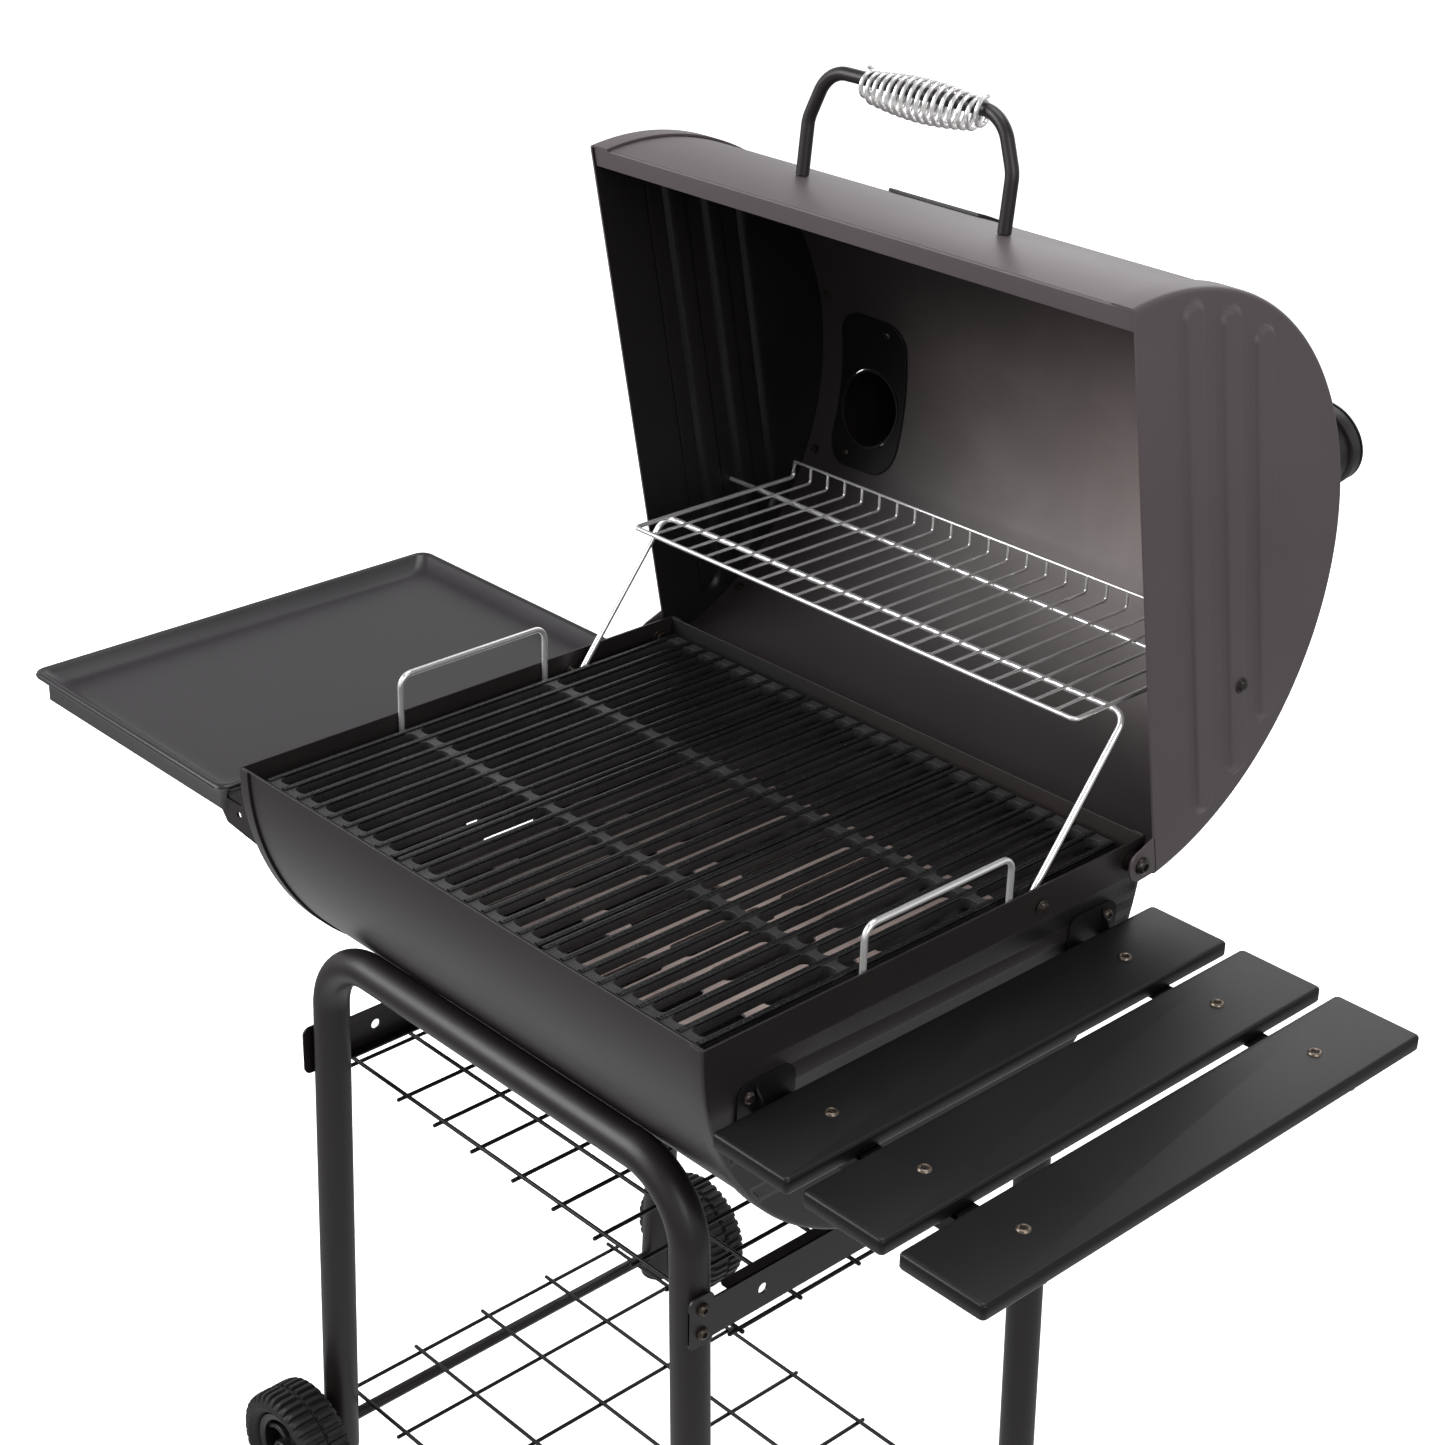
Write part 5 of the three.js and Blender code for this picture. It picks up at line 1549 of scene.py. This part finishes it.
@dataclass
class Shelves:
    """Pressed tray on the left, and three slats on bracket arms on the right."""

    tray_x: tuple[float, float] = (-697.0, -360.0)
    tray_half: float = 245.0
    wall: float = 304.5
    slat_first: float = 317.0
    slat_width: float = 81.8
    slat_gap: float = 14.8
    slat_half: float = 261.0
    slat_top: float = -64.0
    slat_depth: float = 14.0
    arm_y: float = 174.0

    def build(self) -> None:
        """Make the tray, the slats and their brackets."""
        self.tray()
        self.tray_brackets()
        self.slats()
        self.slat_brackets()

    def tray(self) -> None:
        """Tray pressed from one sheet: round-cornered loops from the skirt, over the rim, to the floor."""
        section = ((10, -79, 8), (10, -58, 8), (9.2, -56.2, 8.5), (3.4, -55.8, 12), (1.0, -54.6, 13.4),
                   (0.0, -52.4, 14), (0.9, -50.2, 13.5), (3.4, -49.0, 12.5), (5.6, -49.4, 12),
                   (7.2, -50.8, 12), (9.4, -53.4, 12), (17.5, -60.2, 13), (20.5, -62.2, 14),
                   (24, -63.5, 15), (28, -64, 16), (38, -64, 16), (90, -64, 16), (150, -64, 10))
        x, half = self.tray_x, self.tray_half
        loops = []
        for inset, z, corner in section:
            loop = rounded_loop((x[0] + inset, x[1] - inset), (-half + inset, half - inset), corner, 10)
            loops.append(upright(loop, z, Axis.Z))
        loops = np.stack(loops)
        size = loops.shape[1]
        skin = lofted(loops, capped=False)
        skin.faces.append((np.arange(size) + (len(section) - 1) * size)[None, :])
        make = Make(Body.ROOT, Slot.BLACK, (TRAY_PAINT,), ("side_tray",), 1.4, crease=50)
        piece("pressed_tray", skin, make)

    def tray_brackets(self) -> None:
        """Bracket arms under the tray: a web with a hooked nose and a hole, a foot and its bolts."""
        wall, under = -self.wall - 0.3, -66.3
        corners = [(wall, -59), (-346, -59), (-346, under), (-637, under), (-637, under - 10),
                   (-385, under - 10), (-372, -92), (wall, -99)]
        hole = circle(3.5, 16) + np.array([-352, -77])
        for side, name in ((-1, "front"), (1, "rear")):
            web_span = sorted((side * 229.5, side * 232))
            web = plate(softened_loop(corners, 3.5), [hole], web_span, Axis.Y)
            foot_y = sorted((side * 205, side * 232))
            foot = plate(rounded_loop(foot_y, (-99, -59), 5), [], (wall - 2, wall), Axis.X)
            make = Make(Body.ROOT, Slot.CHARCOAL, (TUBE_PAINT,), (f"tray_bracket_{name}",), edge=0.4)
            piece(f"tray_arm_{name}", together(web, foot), make)
            heads = [BOLTS.domed(5.5, 3.4, (wall - 2, side * 214, z), Axis.X, -1) for z in (-69, -89)]
            nuts = [BOLTS.hexed(5, 3.4, (-self.wall + 2.2, side * 214, z), Axis.X) for z in (-69, -89)]
            make = Make(Body.ROOT, Slot.BOLT, (DARK_STEEL,))
            piece(f"tray_arm_bolts_{name}", together(*heads, *nuts), make)

    def slats(self) -> None:
        """Slats with eased edges and round-nosed corners, each with two recessed bolts."""
        top, low = self.slat_top, self.slat_top - self.slat_depth
        section = ((2.2, low), (0.7, low + 0.6), (0, low + 2), (0, top - 2.4), (0.5, top - 1.2),
                   (1.5, top - 0.35), (3.0, top))
        washer = [(0, -0.6), (2.7, -0.6), (3.1, 1.2), (3.9, 1.7), (5.0, 1.4), (5.9, 0.4), (6.1, -0.4),
                  (0, -0.7)]
        for number, name in enumerate(("inner", "middle", "outer")):
            start = self.slat_first + number * (self.slat_width + self.slat_gap)
            loops = []
            for inset, z in section:
                x = (start + inset, start + self.slat_width - inset)
                y = (-self.slat_half + inset, self.slat_half - inset)
                loops.append(upright(rounded_loop(x, y, 4.2 - inset * 0.4, 6), z, Axis.Z))
            make = Make(Body.ROOT, Slot.BLACK, (BLACK,), (f"shelf_slat_{name}",), crease=60)
            piece(f"slat_{name}", lofted(np.stack(loops)), make)
            middle = start + self.slat_width / 2
            rings, heads = [], []
            for y in (-self.arm_y, self.arm_y):
                rings.append(lathed(washer, 28, Axis.Z, (middle, y, top)))
                heads.append(BOLTS.domed(2.8, 0.9, (middle, y, top - 0.5), Axis.Z))
            piece(f"slat_bolts_{name}", together(*rings), Make(Body.ROOT, Slot.ZINC, (BRASSY,)))
            piece(f"slat_bolt_cores_{name}", together(*heads), Make(Body.ROOT, Slot.BOLT, (DARK_STEEL,)))

    def slat_brackets(self) -> None:
        """Channel arms under the slats, each with a curved foot bolted to the barrel's wall."""
        under = self.slat_top - self.slat_depth - 0.3
        wall = self.wall + 0.3
        end = self.slat_first + 3 * self.slat_width + 2 * self.slat_gap - 8
        for side, name in ((-1, "front"), (1, "rear")):
            y = side * self.arm_y
            nose = arc((end - 9, under - 9), 9, 0, 90, 6)
            heel = [(wall + 2, under), (wall + 2, under - 20), (end - 9, under - 18)]
            web_loop = np.concatenate([heel, nose])
            web_span = sorted((y + side * 10, y + side * 12))
            web = plate(web_loop, [], web_span, Axis.Y)
            arm = plate(rounded_loop((wall, end), (y - 12, y + 12), 3), [], (under - 2, under), Axis.Z)
            foot_y = sorted((y - side * 12, y + side * 50))
            foot = plate(rounded_loop(foot_y, (-100, -47), 12), [], (wall, wall + 2), Axis.X)
            gusset_loop = np.concatenate([[(wall + 1, -50), (wall + 1, under)], [(wall + 13, under)],
                                          arc((wall + 15, -50), 12, 240, 180, 6)])
            gusset = plate(gusset_loop, [], sorted((y + side * 30, y + side * 32)), Axis.Y)
            make = Make(Body.ROOT, Slot.BLACK, (BLACK,), (f"shelf_bracket_{name}",), edge=0.5)
            piece(f"slat_arm_{name}", together(web, arm, foot, gusset), make)
            spots = [(y + side * 38, -60), (y + side * 38, -88), (y - side * 4, -92)]
            heads = [BOLTS.domed(5.5, 3.2, (wall + 2, a, b), Axis.X) for a, b in spots[:2]]
            nuts = [BOLTS.hexed(5, 3.4, (self.wall - 2.2, a, b), Axis.X, -1) for a, b in spots[:2]]
            middles = [self.slat_first + self.slat_width / 2 + i * (self.slat_width + self.slat_gap)
                       for i in range(3)]
            below = [BOLTS.hexed(5, 3.4, (x, y, under - 2), Axis.Z, -1) for x in middles]
            make = Make(Body.ROOT, Slot.BOLT, (DARK_STEEL,))
            piece(f"slat_arm_bolts_{name}", together(*heads, *nuts, *below), make)


@dataclass
class Cart:
    """Two arched tubes, their crossbars, two wire shelves, an axle with wheels, and foot caps."""

    ground: float = -805.0
    tube: float = 17.0
    arch_y: float = 213.0
    top: float = -174.0
    half_span: float = 243.0
    splay: float = 0.035
    splay_start: float = -200.0
    bend: float = 66.0
    bar_faces: tuple[float, float] = (265.4, 267.4)
    rod: float = 2.0
    storage_top: float = -326.0
    bottom_top: float = -720.0
    left_end: float = -768.0
    right_end: float = -800.7
    wheel: float = 64.0
    wheel_width: float = 52.0
    wheel_y: float = 264.0
    axle_x: float = -263.0
    axle_z: float = -741.0
    lugs: int = 40
    lug_height: float = 3.6
    spokes: int = 6
    storage_x: tuple[float, ...] = (-268, -192, -137, -82, -23, 33, 89, 138, 182, 260)
    storage_y: tuple[float, ...] = (-172, -105, -35, 35, 105, 172)
    bottom_x: tuple[float, ...] = (-281, -192, -96, 0, 96, 192, 281)
    bottom_y: tuple[float, ...] = (-186.6, -99, -11.4, 76.2, 163.8)

    def build(self) -> None:
        """Make every piece of the cart."""
        self.arches()
        self.crossbars()
        self.wire_shelf("storage", self.storage_x, self.storage_y, self.storage_top)
        self.wire_shelf("bottom", self.bottom_x, self.bottom_y, self.bottom_top)
        self.axle()
        for side, name, body in ((-1, "front", Body.WHEEL_FRONT), (1, "rear", Body.WHEEL_REAR)):
            self.tyre(side, name, body)
            self.hub(side, name, body)
            self.foot(side, name)

    def leg_x(self, z: float) -> float:
        """Distance of a leg's centre from the middle at a height."""
        return self.half_span + self.splay * max(self.splay_start - z, 0)

    def arches(self) -> None:
        """Tubes bent over at the top, where the barrel rests on them."""
        for side, name in ((-1, "front"), (1, "rear")):
            y = side * self.arch_y
            corners = [(-self.leg_x(self.left_end), y, self.left_end), (-self.leg_x(self.top), y, self.top),
                       (self.leg_x(self.top), y, self.top), (self.leg_x(self.right_end), y, self.right_end)]
            tube = wire(softened(corners, self.bend, 20), self.tube, (0, 1, 0), 32)
            make = Make(Body.ROOT, Slot.CHARCOAL, (TUBE_PAINT,), (f"{name}_arch",), edge=0.8)
            piece(f"{name}_arch_tube", tube, make)

    def crossbars(self) -> None:
        """Pressed rails between the legs: a lipped web with holes, end tabs and their bolts."""
        low, high = self.bar_faces
        web_loop = rounded_loop((-232, 232), (-314, -276), 3)
        holes = [circle(5, 20) + np.array([y, -295]) for y in (-150, 150)]
        tab_loops = [rounded_loop(sorted((way * 205, way * 232)), (-318, -268), 7) for way in (-1, 1)]
        for side, name in ((-1, "left"), (1, "right")):
            web = plate(web_loop, holes, (low, high), Axis.X)
            tabs = [plate(loop, [], (low + 0.1, high + 0.1), Axis.X) for loop in tab_loops]
            lips = [plate(rounded_loop((low - 11, high - 0.2), (-188, 188), 4), [], z, Axis.Z)
                    for z in ((-314, -312), (-278, -276))]
            bar = together(web, *tabs, *lips)
            bolts = together(*[BOLTS.domed(6.0, 4.0, (high + 0.1, way * 218, z), Axis.X)
                               for way in (-1, 1) for z in (-281, -305)])
            make = Make(Body.ROOT, Slot.CHARCOAL, (TUBE_PAINT,), (f"crossbar_{name}",), edge=0.5)
            piece(f"cross_rail_{name}", bar if side > 0 else bar.mirrored(), make)
            make = Make(Body.ROOT, Slot.BOLT, (DARK_STEEL,))
            piece(f"cross_rail_bolts_{name}", bolts if side > 0 else bolts.mirrored(), make)

    def wire_shelf(self, name: str, x: Sequence[float], y: Sequence[float], top: float) -> None:
        """A welded shelf: rods along X lie on rods along Y, and both stand past the outer ones.

        Args:
            name: the shelf's name.
            x: where the rods along Y stand.
            y: where the rods along X stand.
            top: top of the upper rods.
        """
        past, radius = 9.0, self.rod
        high, low = top - radius, top - radius * 2.6
        upper = [straight((x[0] - past, v, high), (x[-1] + past, v, high), radius, 10) for v in y]
        lower = [straight((v, y[0] - past, low), (v, y[-1] + past, low), radius, 10) for v in x]
        make = Make(Body.ROOT, Slot.BLACK, (BLACK,), (f"{name}_shelf",), crease=60)
        piece(f"{name}_wire_shelf", together(*upper, *lower), make)

    def axle(self) -> None:
        """Axle bar with a domed push cap outside each wheel."""
        reach = self.wheel_y + self.wheel_width / 2 - 3
        bar = straight((self.axle_x, -reach, self.axle_z), (self.axle_x, reach, self.axle_z), 6, 24)
        share = [(0, 5), (4, 4.8), (7.6, 3.6), (8.8, 1.6), (11, 1.2), (11, 0), (0, 0)]
        caps = [lathed([(r, s * (reach + h)) for r, h in share], 32, Axis.Y, (self.axle_x, 0, self.axle_z))
                for s in (-1, 1)]
        make = Make(Body.ROOT, Slot.BOLT, (TUBE_PAINT,), ("axle",), crease=40)
        piece("axle_bar", together(bar, *caps), make)

    def tyre(self, side: int, name: str, body: Body) -> None:
        """Lugged tyre: a closed section round the axle, raised by the lug height on the lugs.

        The lugs are a steep wave of the angle, shifted by half a lug from one shoulder to the
        other, and they fade out down the side walls.

        Args:
            side: -1 for the front wheel, 1 for the rear one.
            name: the wheel's name.
            body: the wheel's body.
        """
        width, outer = self.wheel_width, self.wheel - self.lug_height
        bore = 43.8
        share = np.array([(0, -0.36), (0.12, -0.42), (0.45, -0.5), (0.72, -0.49), (0.8, -0.46),
                          (0.9, -0.42), (0.97, -0.36), (1, -0.28), (1, -0.16), (1, -0.045), (0.94, -0.03),
                          (0.94, 0.03), (1, 0.045), (1, 0.16), (1, 0.28), (0.97, 0.36), (0.9, 0.42),
                          (0.8, 0.46), (0.72, 0.49), (0.45, 0.5), (0.12, 0.42), (0, 0.36), (0, -0.36)])
        radius = bore + share[:, :1] * (outer - bore)
        height = share[:, 1:] * width
        angles = np.arange(self.lugs * 10)[None] * TURN / (self.lugs * 10)
        wave = np.cos(self.lugs * angles + np.where(height < 0, 0.0, math.pi))
        lug = np.clip(wave * 2.4 + 0.5, 0, 1) * np.clip((share[:, :1] - 0.66) / 0.2, 0, 1)
        lug = lug * np.where(np.abs(share[:, 1:]) < 0.04, 0.0, 1.0)
        radius = radius + self.lug_height * lug
        height = height - np.sign(height) * 0.9 * (1 - lug) * (share[:, :1] > 0.7)
        loops = np.stack([self.axle_x + radius * np.cos(angles), side * self.wheel_y + height,
                          self.axle_z + radius * np.sin(angles)], axis=-1)
        make = Make(body, Slot.RUBBER, (RUBBER,), (f"tyre_{name}",), crease=38)
        piece(f"lugged_tyre_{name}", lofted(loops, capped=False), make)

    def hub(self, side: int, name: str, body: Body) -> None:
        """Moulded hub: a rim, a boss, a thin disc, and swept spokes that lean one way.

        Args:
            side: -1 for the front wheel, 1 for the rear one.
            name: the wheel's name.
            body: the wheel's body.
        """
        half = self.wheel_width / 2
        at = (self.axle_x, side * self.wheel_y, self.axle_z)
        rim = [(35, -half + 9), (36.4, -half + 8), (41.6, -half + 7.2), (43, -half + 8.4), (43, half - 8.4),
               (41.6, half - 7.2), (36.4, half - 8), (35, half - 9), (33.6, 5), (33.6, -5), (35, -half + 9)]
        boss = [(6.6, -half + 4), (12, -half + 4), (13.6, -half + 5.4), (14.6, -6), (14.6, 6),
                (13.6, half - 5.4), (12, half - 4), (6.6, half - 4), (6.6, -half + 4)]
        parts = [lathed(rim, 64, Axis.Y, at), lathed(boss, 40, Axis.Y, at)]
        reach = np.linspace(0, 1, 9)
        for spoke in range(self.spokes):
            angle = spoke * TURN / self.spokes + 0.75 * reach**1.5
            radius = 11 + 24.5 * reach
            path = np.stack([self.axle_x + radius * np.cos(angle), np.full(9, at[1]),
                             self.axle_z + radius * np.sin(angle)], axis=1)
            section = rounded_loop((-13, 13), (-3.0, 3.0), 1.6, 3)
            parts.append(carried(path, section, (0, 1, 0)))
        disc = [(10, -3), (35.5, -3), (35.5, 3), (10, 3), (10, -3)]
        parts.append(lathed(disc, 48, Axis.Y, at))
        make = Make(body, Slot.PLASTIC, (PLASTIC,), (f"wheel_hub_{name}",), crease=35)
        piece(f"spoked_hub_{name}", together(*parts), make)

    def foot(self, side: int, name: str) -> None:
        """Plastic cup with a flared foot and a rolled brim.

        Args:
            side: -1 for the front leg, 1 for the rear one.
            name: the leg's name.
        """
        ground = self.ground
        profile = [(0, ground), (18.6, ground), (20.2, ground + 1.4), (20.5, ground + 4),
                   (19.6, ground + 12), (19.6, ground + 16.6), (19.0, ground + 18), (18.2, ground + 17.4),
                   (18.2, ground + 3), (0, ground + 3)]
        at = (self.leg_x(ground + 8), side * self.arch_y, 0)
        make = Make(Body.ROOT, Slot.PLASTIC, (PLASTIC,), (f"foot_cap_{name}",), crease=40)
        piece(f"foot_cup_{name}", lathed(profile, 40, Axis.Z, at), make)


# ---------------------------------------------------------------- studio


@dataclass
class Studio:
    """Pale floor, soft lights and the camera."""

    eye: tuple[float, float, float] = (1535.3, -1420.7, 1102.0)
    azimuth: float = math.radians(46.38)
    elevation: float = math.radians(26.11)
    roll: float = math.radians(1.47)
    lens: float = 67.37
    ground: float = -805.0
    floor_glow: float = 0.85
    backdrop: float = 1.6
    sky_levels: tuple[tuple[float, float], ...] = (
        (0.0, 1.0), (0.13, 0.9), (0.23, 0.4), (0.36, 0.25),
        (0.5, 0.6), (0.66, 0.8), (0.8, 0.3), (1.0, 0.2),
    )

    def build(self) -> None:
        """Set up the floor, the sky, the lights and the camera."""
        self.floor()
        self.sky()
        self.light("key", (-2100, -2600, 1900), 2.4, 120)
        self.light("fill", (2900, -900, 1500), 1.6, 34)
        self.light("rim", (-900, 2700, 1700), 2.6, 30)
        self.light("overhead", (0, 300, 3200), 1.8, 50)
        self.camera()
        bpy.context.scene.view_settings.view_transform = "Standard"

    def place(self, spot: Sequence[float]) -> Vector:
        """A point in millimetres from the rim's middle, in the frame."""
        return Vector(ORIGIN + np.array(spot) * MM)

    def floor(self) -> None:
        """Wide flat disc of pale board under the object: rings of growing radius."""
        radii = np.geomspace(0.4, 18, 12) / MM
        profile = [(0, self.ground), *[(r, self.ground) for r in radii]]
        mesh = mesh_of("studio_floor", lathed(profile, 64, Axis.Z, (0, 0, 0)))
        tree = Shading("pale_board")
        cloud = tree.noise(0.7, 2.0)
        tree.feed("Base Color", tree.blend(cloud, (0.9, 0.9, 0.9), (0.92, 0.92, 0.92)))
        tree.feed("Roughness", 0.9)
        tree.feed("Emission Color", (1, 1, 1, 1))
        tree.feed("Emission Strength", self.floor_glow)
        mesh.materials.append(tree.material)
        board = bpy.data.objects.new("studio_floor", mesh)
        bpy.context.scene.collection.objects.link(board)
        board.visible_glossy = False
        board.visible_diffuse = False

    def sky(self) -> None:
        """White backdrop that shows plain white, over light that changes with height.

        The light comes from straight below, where the floor would send it back, and from round
        the horizon; it is dim in between and overhead. A level's place is half of one plus the
        sine of its elevation.
        """
        world = bpy.data.worlds.new("studio_sky")
        bpy.context.scene.world = world
        world.use_nodes = True
        nodes, links = world.node_tree.nodes, world.node_tree.links
        nodes.clear()
        way = nodes.new("ShaderNodeTexCoord")
        split = nodes.new("ShaderNodeSeparateXYZ")
        links.new(way.outputs["Generated"], split.inputs[0])
        ramp = nodes.new("ShaderNodeValToRGB")
        ramp.color_ramp.elements.remove(ramp.color_ramp.elements[1])
        for number, (place, level) in enumerate(self.sky_levels):
            stop = ramp.color_ramp.elements[0] if number == 0 else ramp.color_ramp.elements.new(place)
            stop.position, stop.color = place, (level, level, level, 1)
        spread = nodes.new("ShaderNodeMapRange")
        spread.inputs["From Min"].default_value = -1.0
        links.new(split.outputs[2], spread.inputs[0])
        links.new(spread.outputs[0], ramp.inputs[0])
        path = nodes.new("ShaderNodeLightPath")
        mix = nodes.new("ShaderNodeMixShader")
        end = nodes.new("ShaderNodeOutputWorld")
        links.new(path.outputs["Is Camera Ray"], mix.inputs[0])
        unseen = nodes.new("ShaderNodeBackground")
        links.new(ramp.outputs[0], unseen.inputs["Color"])
        seen = nodes.new("ShaderNodeBackground")
        seen.inputs["Color"].default_value = (1, 1, 1, 1)
        seen.inputs["Strength"].default_value = self.backdrop
        links.new(unseen.outputs[0], mix.inputs[1])
        links.new(seen.outputs[0], mix.inputs[2])
        links.new(mix.outputs[0], end.inputs[0])

    def light(self, name: str, spot: Sequence[float], size: float, power: float) -> None:
        """A soft square light that faces the barrel.

        Args:
            name: the light's name.
            spot: where it hangs.
            size: its side in metres.
            power: watts.
        """
        data = bpy.data.lights.new(name, "AREA")
        data.energy, data.size = power, size
        lamp = bpy.data.objects.new(name, data)
        lamp.location = self.place(spot)
        aim = self.place((0, 0, 0)) - lamp.location
        lamp.rotation_euler = aim.to_track_quat("-Z", "Y").to_euler()
        bpy.context.scene.collection.objects.link(lamp)

    def camera(self) -> None:
        """Camera that looks down at the open smoker from its front right."""
        data = bpy.data.cameras.new("camera")
        data.lens, data.sensor_width = self.lens, 36.0
        sin_a, cos_a = math.sin(self.azimuth), math.cos(self.azimuth)
        sin_e, cos_e = math.sin(self.elevation), math.cos(self.elevation)
        ahead = Vector((-sin_a * cos_e, cos_a * cos_e, -sin_e))
        right = Vector((cos_a, sin_a, 0))
        up = right.cross(ahead)
        cos_r, sin_r = math.cos(self.roll), math.sin(self.roll)
        level, tall = cos_r * right + sin_r * up, cos_r * up - sin_r * right
        turn = Matrix((level, tall, -ahead)).transposed().to_4x4()
        camera = bpy.data.objects.new("camera", data)
        camera.matrix_world = Matrix.Translation(self.place(self.eye)) @ turn
        bpy.context.scene.collection.objects.link(camera)
        bpy.context.scene.camera = camera


def main() -> None:
    """Build the smoker and its studio, and log each part's name and each piece's face count."""
    logging.basicConfig(level=logging.INFO, format="%(message)s")
    for part in (Barrel(), Lid(), Rack(), Shelves(), Cart(), Studio()):
        log.info("%s", type(part).__name__)
        part.build()


if __name__ == "__main__":
    main()
